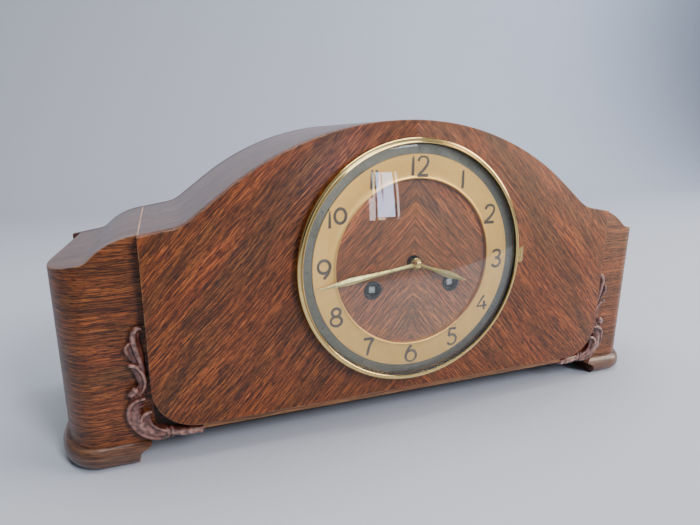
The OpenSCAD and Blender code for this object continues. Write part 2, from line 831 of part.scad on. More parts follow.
module front_plate() {
    color("#a88d4a") difference() {
        union() {
            layer(-plate_t, plate_t) plate_outline();
            arbor(at_motion, -plate_t - 9.5, 9.6, arbor_r);
        }
        arbor(at_centre, -plate_t - 1, plate_t + 2, arbor_r + fit);
        for (p = [at_going, at_strike]) arbor(p, -plate_t - 1, plate_t + 2, 3 + fit);
        for (p = [at_second, at_third, at_escape, at_anchor, at_pin, at_lock, at_fly, at_hammer])
            arbor(p, -plate_t - 1, plate_t + 2, pivot_r + fit);
        for (p = pillar_at) arbor(p, -plate_t - 1, plate_t + 2, 2);
    }
}

module back_plate() {
    color("#a88d4a") difference() {
        layer(pillar_len, plate_t) plate_outline();
        arbor(at_centre, pillar_len - 1, plate_t + 2, arbor_r + fit);
        for (p = [at_going, at_strike]) arbor(p, pillar_len - 1, plate_t + 2, 3 + fit);
        for (p = [at_second, at_third, at_escape, at_pin, at_lock, at_fly])
            arbor(p, pillar_len - 1, plate_t + 2, pivot_r + fit);
        arbor(at_anchor, pillar_len - 1, plate_t + 2, arbor_r + fit);
        arbor(at_hammer, pillar_len - 1, plate_t + 2, 1.5 + fit);
        for (p = pillar_at) arbor(p, pillar_len - 1, plate_t + 2, 2);
    }
}

module plate_pillars() {
    color("#b9b4a6") for (p = pillar_at) {
        arbor(p, 0, pillar_len, 3.2);
        arbor(p, -plate_t - 3, pillar_len + 2 * plate_t + 6, 1.96);
    }
}

// Six-sided nuts on the pillars' ends
module plate_nuts() {
    color("#8f8a80") for (p = pillar_at, y = [-plate_t - 2.2, pillar_len + plate_t]) difference() {
        layer(y, 2.2) translate(p) circle(r = 4, $fn = 6);
        arbor(p, y - 1, 5, 1.98);
    }
}

// Bent lugs that screw the front plate to the board behind the dial
module movement_lugs() {
    w = 14;
    color("#8f8a80") for (s = [-1, 1], z = [plate_low + 14, plate_top - 22]) {
        layer(-plate_t - 1.5, 1.5) translate([s > 0 ? plate_half - 6 : -plate_half - 10, z]) square([16, w]);
        layer(-plate_t - plate_gap, plate_gap - 1.5)
            translate([s * (plate_half + 9.2) - 0.8, z]) square([1.6, w]);
        layer(-plate_t - plate_gap, 1.5)
            translate([s > 0 ? plate_half + 10 : -plate_half - 24, z]) square([14, w]);
    }
}

wheel_t = 2;
barrel_y = 2.5;
centre_wheel_y = 19;
drum_wall = 1.2;
drum_front = barrel_y + wheel_t;
// A drum passes beside the centre wheel where there is room, and otherwise ends in front of it
drum_room = norm(at_going) - pitch_r(centre_n, centre_m) - centre_m;
drum_len = (drum_r < drum_room ? 23 : centre_wheel_y - 0.8) - drum_front;

// Spring barrel with its toothed wheel, running loose on the winding arbor
module barrel(p, a) {
    color("#b39348") difference() {
        union() {
            layer(barrel_y, wheel_t) translate(p) wheel_teeth(barrel_n, barrel_m, a);
            arbor(p, drum_front, drum_len, drum_r);
        }
        arbor(p, barrel_y - 0.5, drum_len + wheel_t + 1.5, 3 + fit);
        arbor(p, drum_front + 1, drum_len - 2, drum_r - drum_wall);
    }
}

module going_barrel() {
    barrel(at_going, dir(at_going, at_second));
}

module strike_barrel() {
    barrel(at_strike, dir(at_strike, at_pin));
}

ratchet_n = 24;
ratchet_r = 8;
ratchet_y = -plate_t - 4;

// Winding arbor with a square front end and a ratchet wheel
module winding_arbor(p) {
    square_y = 2;
    round_y = plate_y - 6;
    color("#8f8a80") union() {
        arbor(p, round_y - inner_y, pillar_len + 2 * plate_t + 7.5, 3);
        layer(square_y - inner_y, round_y - square_y + 1) translate(p) square(square_w, center = true);
        layer(ratchet_y, 2) translate(p)
            polygon([for (i = [0:ratchet_n - 1], k = [0, 1]) let (a = (i + 0.25 * k) * 360 / ratchet_n)
                (k == 0 ? ratchet_r - 1.2 : ratchet_r) * [cos(a), sin(a)]]);
    }
}

module going_arbor() {
    winding_arbor(at_going);
}

module strike_arbor() {
    winding_arbor(at_strike);
}

// Clicks beside the ratchet wheels, on studs of the front plate
module clicks() {
    color("#8f8a80") for (p = [at_going, at_strike]) {
        layer(ratchet_y, 2) translate(p) union() {
            translate([0, -ratchet_r - 5]) circle(r = 3, $fn = 32);
            polygon([[-1, -ratchet_r - 7.5], [-7, -ratchet_r + 0.6], [-4.6, -ratchet_r + 0.6], [1.5, -ratchet_r - 3]]);
        }
        arbor(p + [0, -ratchet_r - 5], ratchet_y, 4, 1.6);
    }
}

module second_wheel() {
    color("#b39348") {
        pivoted(at_second, 1.5);
        layer(1.5, 4.5) translate(at_second) pinion_leaves(second_pn, barrel_m, dir(at_second, at_going));
        layer(28, 1.4) translate(at_second) crossed_wheel(second_n, second_m, dir(at_second, at_centre), 1, 5);
    }
}

module centre_wheel() {
    nose = minute_y - nut_h + 0.3;
    color("#b39348") {
        arbor(at_centre, nose - inner_y, inner_y - nose + pillar_len + plate_t, arbor_r);
        layer(26.5, 4.5) pinion_leaves(centre_pn, second_m, dir(at_centre, at_second));
        layer(centre_wheel_y, 1.2) crossed_wheel(centre_n, centre_m, dir(at_centre, at_third), 0.9, 5);
    }
}

module third_wheel() {
    color("#b39348") {
        arbor(at_third, -plate_t, pillar_len + 2 * plate_t, pivot_r);
        arbor(at_third, 0.4, 16.5, 1);
        layer(16.5, 6) translate(at_third) pinion_leaves(third_pn, centre_m, dir(at_third, at_centre));
        layer(12, 1.2) translate(at_third) crossed_wheel(third_n, third_m, dir(at_third, at_escape), 0.9, 5);
    }
}

// Escape wheel with pointed teeth; a gap stands under each pallet of the anchor
module escape_wheel() {
    color("#b39348") {
        arbor(at_escape, -plate_t, pillar_len + 2 * plate_t, 0.5);
        layer(9.5, 6) translate(at_escape) pinion_leaves(escape_pn, third_m, dir(at_escape, at_third));
        layer(7, 0.8) translate(at_escape) difference() {
            polygon(toothed(escape_n, [[escape_r - 1.4, 0.4], [escape_r, 0.1]]));
            circle(r = 0.4, $fn = 24);
            for (i = [0:3]) rotate(90 * i) difference() {
                polygon(concat([[0.8, 0.8]], arc([0, 0], 6.2, 8, 82, 6)));
                circle(r = 2, $fn = 24);
            }
        }
    }
}

pallet_clear = 0.15;

// Anchor with two pallets, and the crutch that it turns behind the back plate
module anchor() {
    reach = escape_r + pallet_clear;
    drop = at_anchor[1] - at_escape[1];
    color("#9a958b") {
        arbor(at_anchor, -plate_t, plate_t + 1, pivot_r);
        arbor(at_anchor, 0.4, pillar_len + plate_t + 4.5, arbor_r);
        layer(6.6, 1.6) translate(at_anchor) union() {
            circle(r = 2.4, $fn = 32);
            for (s = [-1, 1]) {
                tip = [s * reach * sin(45), reach * cos(45) - drop];
                n = [s * sin(45), cos(45)];
                t = [s * cos(45), -sin(45)];
                polygon([tip - 0.35 * t, tip + 0.35 * t, tip + 2.2 * n + 0.9 * t, [s * 2, 1.4], [0, -1.2],
                    tip + 1.6 * n - 0.6 * t]);
            }
        }
        layer(pillar_len + plate_t + 2.2, 1) translate(at_anchor) union() {
            circle(r = 2.6, $fn = 32);
            translate([-1.2, -30]) square([2.4, 30]);
            for (s = [-1, 1]) translate([s * 2.6 - 0.8, -32]) square([1.6, 4]);
            translate([-3.4, -30]) square([6.8, 2]);
        }
        for (s = [-1, 1]) layer(pillar_len + plate_t + 3.2, 4.5)
            translate(at_anchor + [s * 2.6 - 0.8, -32]) square([1.6, 2.6]);
    }
}

pendulum_y = pillar_len + plate_t + 5.2;

// Cock on the back plate that holds the suspension spring
module pendulum_cock() {
    color("#b39348") {
        layer(pillar_len + plate_t, pendulum_y - pillar_len - plate_t + 3.5)
            translate(at_anchor + [-6, 5.2]) square([12, 4.2]);
        layer(pendulum_y + 0.8, 0.3) translate(at_anchor + [-2.5, 0.6]) square([5, 5]);
    }
}

module pendulum_rod() {
    color("#8f8a80") {
        layer(pendulum_y, 2) translate(at_anchor + [-2.5, -6]) square([5, 6.2]);
        layer(pendulum_y + 0.3, 1.4) translate(at_anchor + [-0.9, -pendulum_len]) square([1.8, pendulum_len - 5]);
    }
}

module pendulum_bob() {
    y = pendulum_y + 1;
    c = at_anchor - [0, pendulum_len];
    color("#b39348") placed() difference() {
        translate([c[0], inner_y + y, dial_z + c[1]]) rotate([90, 0, 0]) rotate_extrude($fn = 64)
            polygon([[0, -3.5], [bob_r * 0.6, -3], [bob_r, -0.8], [bob_r, 0.8], [bob_r * 0.6, 3], [0, 3.5]]);
        translate([c[0] - 0.95, inner_y + pendulum_y + 0.25, dial_z + c[1] - 0.05])
            cube([1.9, 1.5, bob_r + 2]);
    }
}

module pin_wheel() {
    color("#b39348") {
        pivoted(at_pin, 1.5);
        layer(1.5, 4.5) translate(at_pin) pinion_leaves(second_pn, barrel_m, dir(at_pin, at_strike));
        layer(28, 1.4) translate(at_pin) crossed_wheel(pin_n, pin_m, dir(at_pin, at_lock), 1, 0);
        for (i = [0:7]) arbor(at_pin + 12 * [cos(45 * i), sin(45 * i)], 25.5, 3, 0.7);
    }
}

module locking_wheel() {
    color("#b39348") {
        arbor(at_lock, -plate_t, pillar_len + 2 * plate_t, pivot_r);
        arbor(at_lock, 0.4, 26.5, 1);
        layer(26, 5) translate(at_lock) pinion_leaves(lock_pn, pin_m, dir(at_lock, at_pin));
        layer(21, 1.2) translate(at_lock) crossed_wheel(lock_n, lock_m, dir(at_lock, at_fly), 0.9, 4);
        arbor(at_lock + [5.5, 0], 22, 1.8, 0.5);
    }
}

module fly() {
    color("#a8a49a") {
        arbor(at_fly, -plate_t, pillar_len + 2 * plate_t, 0.5);
        layer(19, 5) translate(at_fly) pinion_leaves(fly_pn, lock_m, dir(at_fly, at_lock));
        arbor(at_fly, 5, 12, 1.1);
        layer(5, 12) translate(at_fly + [-8, -0.25]) square([16, 0.5]);
    }
}

hammer_y = [rear_face - inner_y + 19.5, rear_face - inner_y + 27.5];
hammer_x = -90;
rod_top = base_top + rod_z + rod_r - dial_z;

// Hammer arbor, its lifting tail between the plates and an arm for each hammer
module hammer_arbor() {
    elbow = at_hammer + [6, 30];
    tip = at_pin + 13.5 * [cos(250), sin(250)];
    color("#8f8a80") {
        arbor(at_hammer, -plate_t, plate_t + 1, pivot_r);
        arbor(at_hammer, 0.4, hammer_y[1] + 2.6, 1.5);
        layer(26, 1.5) translate(at_hammer) union() {
            circle(r = 3, $fn = 32);
            polygon([[-1.4, 0], [1.4, 0], elbow - at_hammer + [1.4, -1], tip - at_hammer + [0.4, -1.2],
                tip - at_hammer + [-0.5, 0.9], elbow - at_hammer + [-1.4, 1]]);
        }
        for (y = hammer_y) layer(y - 0.8, 1.6) union() {
            translate(at_hammer) circle(r = 3.2, $fn = 32);
            polygon([at_hammer + [0, 1.5], at_hammer + [0, -1.5], [hammer_x, rod_top + 6.4],
                [hammer_x, rod_top + 9.4]]);
        }
    }
}

module hammer_heads() {
    color("#b39348") for (y = hammer_y) placed() difference() {
        translate([hammer_x - 3.9, inner_y + y, dial_z + rod_top + 0.8]) cylinder(h = 14, r = 4, $fn = 40);
        translate([hammer_x, inner_y + y - 5, dial_z + rod_top]) cube([2, 10, 16]);
    }
}

// ---------------------------------------------------------------- gong

block_x = 100;
block_w = 26;
block_y0 = inner_y + hammer_y[0] - 8;
block_y1 = inner_y + hammer_y[1] + 8;
screw_at = [block_x + 6, block_x + block_w - 6];

module gong_block() {
    color("#3d3d3f") placed() difference() {
        union() {
            translate([block_x, block_y0, base_top]) cube([block_w, block_y1 - block_y0, rod_z + 8]);
            translate([block_x - 5, block_y0, base_top]) cube([block_w + 10, block_y1 - block_y0, 6]);
        }
        for (y = hammer_y) translate([block_x - 1, inner_y + y, base_top + rod_z]) rotate([0, 90, 0])
            cylinder(h = 16, r = rod_r, $fn = 32);
        for (x = screw_at) translate([x, (block_y0 + block_y1) / 2, base_top - 1])
            cylinder(h = 12, r = 2, $fn = 32);
    }
}

module gong_rods() {
    color("#8c8f94") placed() for (y = hammer_y)
        translate([block_x - rod_len, inner_y + y, base_top + rod_z]) rotate([0, 90, 0])
            cylinder(h = rod_len + 14, r = rod_r - 0.01, $fn = 32);
}

// Screws up through the base board into the gong block
module gong_screws() {
    color("#8f8a80") placed() for (x = screw_at) translate([x, (block_y0 + block_y1) / 2, base_z - 1.5]) {
        cylinder(h = base_t + 1.5 + 10, r = 1.98, $fn = 32);
        cylinder(h = 1.5, r = 4, $fn = 32);
    }
}

front_panel();
front_board();
front_lip();
top_skin();
side_walls();
wing_left();
wing_right();
base_board();
back_board();
foot_left();
foot_right();
ornament_left();
ornament_right();
glue_blocks();
back_door();
door_hinge_leaves();
door_hinge_knuckles();
turn_button();
button_screw();
chapter_ring();
minute_track();
winding_eyelets();
bezel_ring();
glass();
glass_clip();
bezel_hinge_leaf();
bezel_knuckle();
minute_hand();
hour_hand();
hand_nut();
cannon_pinion();
minute_wheel();
hour_wheel();
front_plate();
back_plate();
plate_pillars();
plate_nuts();
movement_lugs();
going_barrel();
going_arbor();
strike_barrel();
strike_arbor();
clicks();
second_wheel();
centre_wheel();
third_wheel();
escape_wheel();
anchor();
pendulum_cock();
pendulum_rod();
pendulum_bob();
pin_wheel();
locking_wheel();
fly();
hammer_arbor();
hammer_heads();
gong_block();
gong_rods();
gong_screws();
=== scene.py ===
"""Mantel clock with an arched oak case, a round brass bezel and a striking movement.

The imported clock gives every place. Each class below is one sub-assembly: it holds its own sizes in
metres, builds its meshes with bmesh operators and gives them their finish.
"""

import json
import logging
import math
from dataclasses import dataclass, field
from enum import Enum
from typing import Callable, ClassVar, Iterable, Optional, Sequence

import bmesh
import bpy
from mathutils import Matrix, Vector


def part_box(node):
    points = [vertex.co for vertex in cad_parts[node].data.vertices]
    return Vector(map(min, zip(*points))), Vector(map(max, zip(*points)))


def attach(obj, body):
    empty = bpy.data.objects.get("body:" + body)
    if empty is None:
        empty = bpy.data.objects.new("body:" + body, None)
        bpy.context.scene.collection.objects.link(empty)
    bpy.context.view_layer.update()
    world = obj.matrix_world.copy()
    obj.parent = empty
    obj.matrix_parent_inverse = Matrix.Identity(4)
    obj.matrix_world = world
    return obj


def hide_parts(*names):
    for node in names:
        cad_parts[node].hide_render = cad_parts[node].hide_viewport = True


logging.basicConfig(level=logging.INFO, format="%(message)s")
LOG = logging.getLogger("mantel_clock")

MM = 0.001
HAIR = 0.02 * MM
DEPTH = Vector((0, 1, 0))
UP = Vector((0, 0, 1))
Point = tuple[float, float]
Socket = bpy.types.NodeSocket

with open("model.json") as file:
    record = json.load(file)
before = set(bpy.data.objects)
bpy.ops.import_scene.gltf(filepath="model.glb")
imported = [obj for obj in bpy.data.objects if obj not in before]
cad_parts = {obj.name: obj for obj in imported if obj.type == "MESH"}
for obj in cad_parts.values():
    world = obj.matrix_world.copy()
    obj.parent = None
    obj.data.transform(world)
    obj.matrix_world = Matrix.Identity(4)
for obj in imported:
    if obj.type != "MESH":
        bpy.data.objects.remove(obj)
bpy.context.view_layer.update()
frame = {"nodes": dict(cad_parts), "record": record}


# ---------------------------------------------------------------- places taken from the clock


def low(node: str) -> Vector:
    """Lowest corner of a part of the clock."""
    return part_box(node)[0]


def high(node: str) -> Vector:
    """Highest corner of a part of the clock."""
    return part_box(node)[1]


def centre(node: str) -> Vector:
    """Middle of a part's box."""
    return (low(node) + high(node)) / 2


FRONT = low("front_panel").y
WING_FRONT = high("front_panel").y
BACK = low("back_board").y
DIAL_Z = centre("bezel_ring").z


# ---------------------------------------------------------------- colours, nodes and finishes


def linear(hex_code: str) -> tuple[float, float, float, float]:
    """Turns an sRGB hex colour into linear light.

    Args:
        hex_code: Six hex digits, such as "8a5a34".

    Returns:
        Red, green, blue and an alpha of 1.
    """
    channels = [int(hex_code[i : i + 2], 16) / 255 for i in (0, 2, 4)]
    curve = [c / 12.92 if c <= 0.04045 else ((c + 0.055) / 1.055) ** 2.4 for c in channels]
    return (curve[0], curve[1], curve[2], 1.0)


def add_node(
    tree: bpy.types.NodeTree,
    kind: str,
    settings: Optional[dict] = None,
    inputs: Optional[dict] = None,
    stops: Sequence[tuple[float, str]] = (),
) -> bpy.types.Node:
    """Adds one shader node with its settings, its sockets' values or links, and its colour stops.

    Args:
        tree: The material's node tree.
        kind: The node's type without "ShaderNode".
        settings: Properties to set on the node.
        inputs: For each input's name or number, a value or the output it's linked to.
        stops: For a colour ramp, each stop's position and hex colour.

    Returns:
        The new node.
    """
    node = tree.nodes.new("ShaderNode" + kind)
    for key, value in (settings or {}).items():
        setattr(node, key, value)
    for key, value in (inputs or {}).items():
        if isinstance(value, Socket):
            tree.links.new(value, node.inputs[key])
        else:
            node.inputs[key].default_value = value
    for number, (position, hex_code) in enumerate(stops):
        elements = node.color_ramp.elements
        element = elements[number] if number < len(elements) else elements.new(position)
        element.position = position
        element.color = linear(hex_code)
    return node


@dataclass(frozen=True)
class Finish:
    """A named finish that makes its Blender material once."""

    name: str

    def material(self) -> bpy.types.Material:
        """The finish's material, made at its first use."""
        made = bpy.data.materials.get(self.name)
        if made is None:
            made = bpy.data.materials.new(self.name)
            made.use_nodes = True
            tree = made.node_tree
            tree.nodes.clear()
            add_node(tree, "OutputMaterial", inputs={"Surface": self.shade(tree)})
        return made

    def shade(self, tree: bpy.types.NodeTree) -> Socket:
        """Builds the finish's nodes.

        Args:
            tree: The empty node tree of the new material.

        Returns:
            The shader's output.
        """
        raise NotImplementedError


class Grain(Enum):
    """Which way the grain of a piece of wood runs."""

    CHEVRON = "two leaves that meet at a seam in the middle and run down and out"
    LEVEL = "level round the piece"
    ARCHED = "along the bent top, from side to side"


@dataclass(frozen=True)
class Oak(Finish):
    """Sliced oak veneer, stained and lacquered: long open pores stay dark and catch the light.

    A pore is 0.3 mm wide and 5 to 15 mm long on the real wood. It is drawn 0.4 mm wide, so that it
    shows at the size the clock is seen.
    """

    grain: Grain = Grain.LEVEL
    slope: float = 0.0
    dark: str = "3f200e"
    mid: str = "784620"
    light: str = "b2723a"
    pore: str = "1f0f07"
    worn: str = "8d6a4c"
    pore_mm: tuple[float, float] = (7.0, 0.4)
    streak_mm: tuple[float, float] = (30.0, 0.85)
    patch_mm: tuple[float, float] = (90.0, 16.0)
    pore_share: float = 0.9
    rubbed_share: float = 0.75
    roughness: float = 0.42
    coat: float = 0.12
    coat_roughness: float = 0.22
    relief_mm: float = 0.10

    def along(self, tree: bpy.types.NodeTree, place: Socket, length: float, width: float) -> Socket:
        """Stretches a pattern along the grain.

        Args:
            tree: The material's node tree.
            place: The coordinates to start from.
            length: Length of the pattern's marks in millimetres.
            width: Their width in millimetres.

        Returns:
            Coordinates in which a mark is one unit long and wide.
        """
        stretch = {
            Grain.CHEVRON: (length, 3 * width, width),
            Grain.LEVEL: (length, length, width),
            Grain.ARCHED: (length, width, length),
        }[self.grain]
        return add_node(
            tree,
            "Mapping",
            {"vector_type": "TEXTURE"},
            {
                "Vector": place,
                "Rotation": (0, math.radians(self.slope), 0),
                "Scale": tuple(s * MM for s in stretch),
            },
        ).outputs[0]

    def leaf(self, tree: bpy.types.NodeTree) -> Socket:
        """The piece's own coordinates: mirrored at the seam for a chevron, and a little wavy."""
        place = add_node(tree, "TexCoord").outputs["Object"]
        if self.grain is Grain.CHEVRON:
            parts = add_node(tree, "SeparateXYZ", inputs={0: place})
            side = add_node(tree, "Math", {"operation": "ABSOLUTE"}, {0: parts.outputs["X"]})
            place = add_node(
                tree, "CombineXYZ", inputs={0: side.outputs[0], 1: parts.outputs["Y"], 2: parts.outputs["Z"]}
            ).outputs[0]
        wave = add_node(tree, "TexNoise", inputs={"Vector": place, "Scale": 1 / (70 * MM), "Detail": 1.0})
        sway = add_node(
            tree,
            "VectorMath",
            {"operation": "MULTIPLY_ADD"},
            {0: wave.outputs["Color"], 1: (9 * MM, 9 * MM, 9 * MM), 2: place},
        )
        return sway.outputs[0]

    def shade(self, tree: bpy.types.NodeTree) -> Socket:
        """Streaks, wide bands, reddish patches, dark pores and worn edges under a lacquer."""
        place = self.leaf(tree)
        along = self.along(tree, place, *self.streak_mm)
        streaks = add_node(
            tree, "TexNoise", inputs={"Vector": along, "Scale": 1.0, "Detail": 4.0, "Roughness": 0.62}
        )
        wood = add_node(
            tree,
            "ValToRGB",
            inputs={0: streaks.outputs[0]},
            stops=[(0.34, self.dark), (0.66, self.light), (0.5, self.mid)],
        )
        patches = add_node(
            tree,
            "TexNoise",
            inputs={"Vector": self.along(tree, place, *self.patch_mm), "Scale": 1.0, "Detail": 3.0},
        )
        hue = add_node(
            tree, "ValToRGB", inputs={0: patches.outputs[0]}, stops=[(0.32, "a9a27c"), (0.68, "ffcba4")]
        )
        toned = add_node(
            tree,
            "Mix",
            {"data_type": "RGBA", "blend_type": "MULTIPLY"},
            {0: 0.75, 6: wood.outputs[0], 7: hue.outputs[0]},
        )
        along = self.along(tree, place, *self.pore_mm)
        pores = add_node(
            tree, "TexNoise", inputs={"Vector": along, "Scale": 1.0, "Detail": 2.0, "Roughness": 0.7}
        )
        open_pore = add_node(
            tree,
            "MapRange",
            {"interpolation_type": "SMOOTHSTEP"},
            {"Value": pores.outputs[0], "From Min": 0.53, "From Max": 0.41, "To Max": self.pore_share},
        )
        pored = add_node(
            tree,
            "Mix",
            {"data_type": "RGBA"},
            {0: open_pore.outputs[0], 6: toned.outputs[2], 7: linear(self.pore)},
        )
        arris = add_node(tree, "Attribute", {"attribute_name": "arris"})
        rubbing = add_node(tree, "TexNoise", inputs={"Vector": place, "Scale": 1 / (6 * MM), "Detail": 3.0})
        spread = {"From Min": 0.42, "From Max": 0.66, "To Max": self.rubbed_share}
        rubbed = add_node(tree, "MapRange", inputs={"Value": rubbing.outputs[0], **spread})
        worn = add_node(
            tree, "Math", {"operation": "MULTIPLY"}, {0: arris.outputs["Fac"], 1: rubbed.outputs[0]}
        )
        colour = add_node(
            tree,
            "Mix",
            {"data_type": "RGBA"},
            {0: worn.outputs[0], 6: pored.outputs[2], 7: linear(self.worn)},
        )
        gloss = add_node(
            tree,
            "MapRange",
            inputs={
                "Value": streaks.outputs[0],
                "From Min": 0.3,
                "From Max": 0.7,
                "To Min": self.roughness + 0.08,
                "To Max": self.roughness - 0.05,
            },
        )
        relief = add_node(
            tree,
            "Bump",
            {"invert": True},
            {"Height": open_pore.outputs[0], "Distance": self.relief_mm * MM, "Strength": 0.8},
        )
        return add_node(
            tree,
            "BsdfPrincipled",
            inputs={
                "Base Color": colour.outputs[2],
                "Roughness": gloss.outputs[0],
                "IOR": 1.43,
                "Coat Weight": self.coat,
                "Coat Roughness": self.coat_roughness,
                "Normal": relief.outputs[0],
            },
        ).outputs[0]


@dataclass(frozen=True)
class CarvedBeech(Finish):
    """Carved beech, stained dark red-brown; the high crests that face front are lightened to a greyish pink,
    partly as wear rubbed by handling and partly as a painted highlight, which leaves the hollows darker as
    painted shade.
    """

    stain: str = "2c1410"
    mid: str = "653629"
    # greyish pink of the crests that face front: partly rubbed wear, partly painted highlight
    rubbed: str = "b08a7a"

    def shade(self, tree: bpy.types.NodeTree) -> Socket:
        """Stain in the hollows, crests lightened by the mesh's own height and facing (partly rubbed wear,
        partly painted highlight), and fine tool marks.
        """
        place = add_node(tree, "TexCoord").outputs["Object"]
        mottle = add_node(tree, "TexNoise", inputs={"Vector": place, "Scale": 1 / (3 * MM), "Detail": 4.0})
        # the ridge mask lightens high crests that face front, partly as wear and partly as painted highlight;
        # what it leaves dark is partly painted shade in the hollows
        ridge = add_node(tree, "Attribute", {"attribute_name": "ridge"})
        spread = {"From Min": 0.36, "From Max": 0.66, "To Min": 0.15, "To Max": 0.95}
        worn = add_node(tree, "MapRange", inputs={"Value": mottle.outputs[0], **spread})
        share = add_node(
            tree, "Math", {"operation": "MULTIPLY"}, {0: ridge.outputs["Fac"], 1: worn.outputs[0]}
        )
        depth = add_node(
            tree, "ValToRGB", inputs={0: mottle.outputs[0]}, stops=[(0.32, self.stain), (0.68, self.mid)]
        )
        colour = add_node(
            tree,
            "Mix",
            {"data_type": "RGBA"},
            {0: share.outputs[0], 6: depth.outputs[0], 7: linear(self.rubbed)},
        )
        marks = add_node(tree, "TexNoise", inputs={"Vector": place, "Scale": 1 / (0.9 * MM), "Detail": 2.0})
        relief = add_node(
            tree, "Bump", inputs={"Height": marks.outputs[0], "Distance": 0.12 * MM, "Strength": 0.5}
        )
        return add_node(
            tree,
            "BsdfPrincipled",
            inputs={
                "Base Color": colour.outputs[2],
                "Roughness": 0.34,
                "IOR": 1.5,
                "Coat Weight": 0.5,
                "Coat Roughness": 0.14,
                "Normal": relief.outputs[0],
            },
        ).outputs[0]


class Tooling(Enum):
    """The marks that working the metal left on it."""

    BUFFED = "no set direction"
    TURNED = "rings round the dial's axis"
    DRAWN = "fine lines from side to side"


@dataclass(frozen=True)
class Metal(Finish):
    """Worked metal: its bright colour, patches of tarnish and the fine marks of how it was finished."""

    bright: str = "d9b566"
    dull: str = "8c7038"
    roughness: float = 0.2
    tarnish: float = 0.3
    tooling: Tooling = Tooling.BUFFED
    mark_mm: float = 0.35
    mark_depth_mm: float = 0.004
    anisotropy: float = 0.0

    def marks(self, tree: bpy.types.NodeTree, place: Socket) -> Socket:
        """Coordinates in which the tool's marks are one unit apart."""
        if self.tooling is Tooling.TURNED:
            from_axis = add_node(
                tree, "VectorMath", {"operation": "SUBTRACT"}, {0: place, 1: (0, FRONT, DIAL_Z)}
            )
            flat = add_node(
                tree, "VectorMath", {"operation": "MULTIPLY"}, {0: from_axis.outputs[0], 1: (1, 0, 1)}
            )
            radius = add_node(tree, "VectorMath", {"operation": "LENGTH"}, {0: flat.outputs[0]})
            scaled = add_node(
                tree, "Math", {"operation": "DIVIDE"}, {0: radius.outputs["Value"], 1: self.mark_mm * MM}
            )
            return add_node(tree, "CombineXYZ", inputs={0: scaled.outputs[0]}).outputs[0]
        stretch = 30.0 if self.tooling is Tooling.DRAWN else 2.0
        size = (stretch * self.mark_mm * MM, self.mark_mm * MM, self.mark_mm * MM)
        return add_node(
            tree, "Mapping", {"vector_type": "TEXTURE"}, {"Vector": place, "Scale": size}
        ).outputs[0]

    def shade(self, tree: bpy.types.NodeTree) -> Socket:
        """Tarnish that dulls colour and gloss together, over the tool's marks."""
        place = add_node(tree, "TexCoord").outputs["Object"]
        cloud_size = 1 / (9 * MM)
        cloud = add_node(
            tree, "TexNoise", inputs={"Vector": place, "Scale": cloud_size, "Detail": 5.0, "Roughness": 0.65}
        )
        spread = {"From Min": 0.42, "From Max": 0.78, "To Max": self.tarnish}
        stained = add_node(tree, "MapRange", inputs={"Value": cloud.outputs[0], **spread})
        colour = add_node(
            tree,
            "Mix",
            {"data_type": "RGBA"},
            {0: stained.outputs[0], 6: linear(self.bright), 7: linear(self.dull)},
        )
        gloss = add_node(
            tree,
            "MapRange",
            inputs={"Value": stained.outputs[0], "To Min": self.roughness, "To Max": self.roughness + 0.35},
        )
        lines = add_node(
            tree, "TexNoise", inputs={"Vector": self.marks(tree, place), "Scale": 1.0, "Detail": 2.0}
        )
        relief = add_node(
            tree,
            "Bump",
            inputs={"Height": lines.outputs[0], "Distance": self.mark_depth_mm * MM, "Strength": 1.0},
        )
        inputs = {
            "Base Color": colour.outputs[2],
            "Metallic": 1.0,
            "Roughness": gloss.outputs[0],
            "Normal": relief.outputs[0],
        }
        if self.anisotropy:
            inputs["Anisotropic"] = self.anisotropy
            around = add_node(tree, "Tangent", {"direction_type": "RADIAL", "axis": "Y"})
            inputs["Tangent"] = around.outputs[0]
        return add_node(tree, "BsdfPrincipled", inputs=inputs).outputs[0]


@dataclass(frozen=True)
class Coated(Finish):
    """A thin opaque coat, such as enamel ink, blacking or stove paint, with an uneven skin."""

    colour: str = "2a1f18"
    second: str = "3a2c22"
    roughness: float = 0.5
    lump_mm: float = 1.5
    lump_depth_mm: float = 0.02

    def shade(self, tree: bpy.types.NodeTree) -> Socket:
        """Two close shades and a slight orange peel."""
        place = add_node(tree, "TexCoord").outputs["Object"]
        lumps = add_node(
            tree, "TexNoise", inputs={"Vector": place, "Scale": 1 / (self.lump_mm * MM), "Detail": 3.0}
        )
        colour = add_node(
            tree, "ValToRGB", inputs={0: lumps.outputs[0]}, stops=[(0.35, self.colour), (0.7, self.second)]
        )
        spread = {"To Min": self.roughness - 0.08, "To Max": self.roughness + 0.08}
        gloss = add_node(tree, "MapRange", inputs={"Value": lumps.outputs[0], **spread})
        relief = add_node(
            tree,
            "Bump",
            inputs={"Height": lumps.outputs[0], "Distance": self.lump_depth_mm * MM, "Strength": 0.8},
        )
        return add_node(
            tree,
            "BsdfPrincipled",
            inputs={
                "Base Color": colour.outputs[0], "Roughness": gloss.outputs[0], "Normal": relief.outputs[0]
            },
        ).outputs[0]


@dataclass(frozen=True)
class ClearGlass(Finish):
    """Blown and ground clock glass: clear, with a faint green edge, letting lamps reach the dial."""

    tint: str = "f4faf7"

    def shade(self, tree: bpy.types.NodeTree) -> Socket:
        """Glass for what is seen, and a clear shader for shadows."""
        glass = add_node(
            tree,
            "BsdfPrincipled",
            inputs={
                "Base Color": linear(self.tint), "Roughness": 0.0, "IOR": 1.5, "Transmission Weight": 1.0
            },
        )
        clear = add_node(tree, "BsdfTransparent", inputs={"Color": linear(self.tint)})
        path = add_node(tree, "LightPath")
        return add_node(
            tree,
            "MixShader",
            inputs={0: path.outputs["Is Shadow Ray"], 1: glass.outputs[0], 2: clear.outputs[0]},
        ).outputs[0]


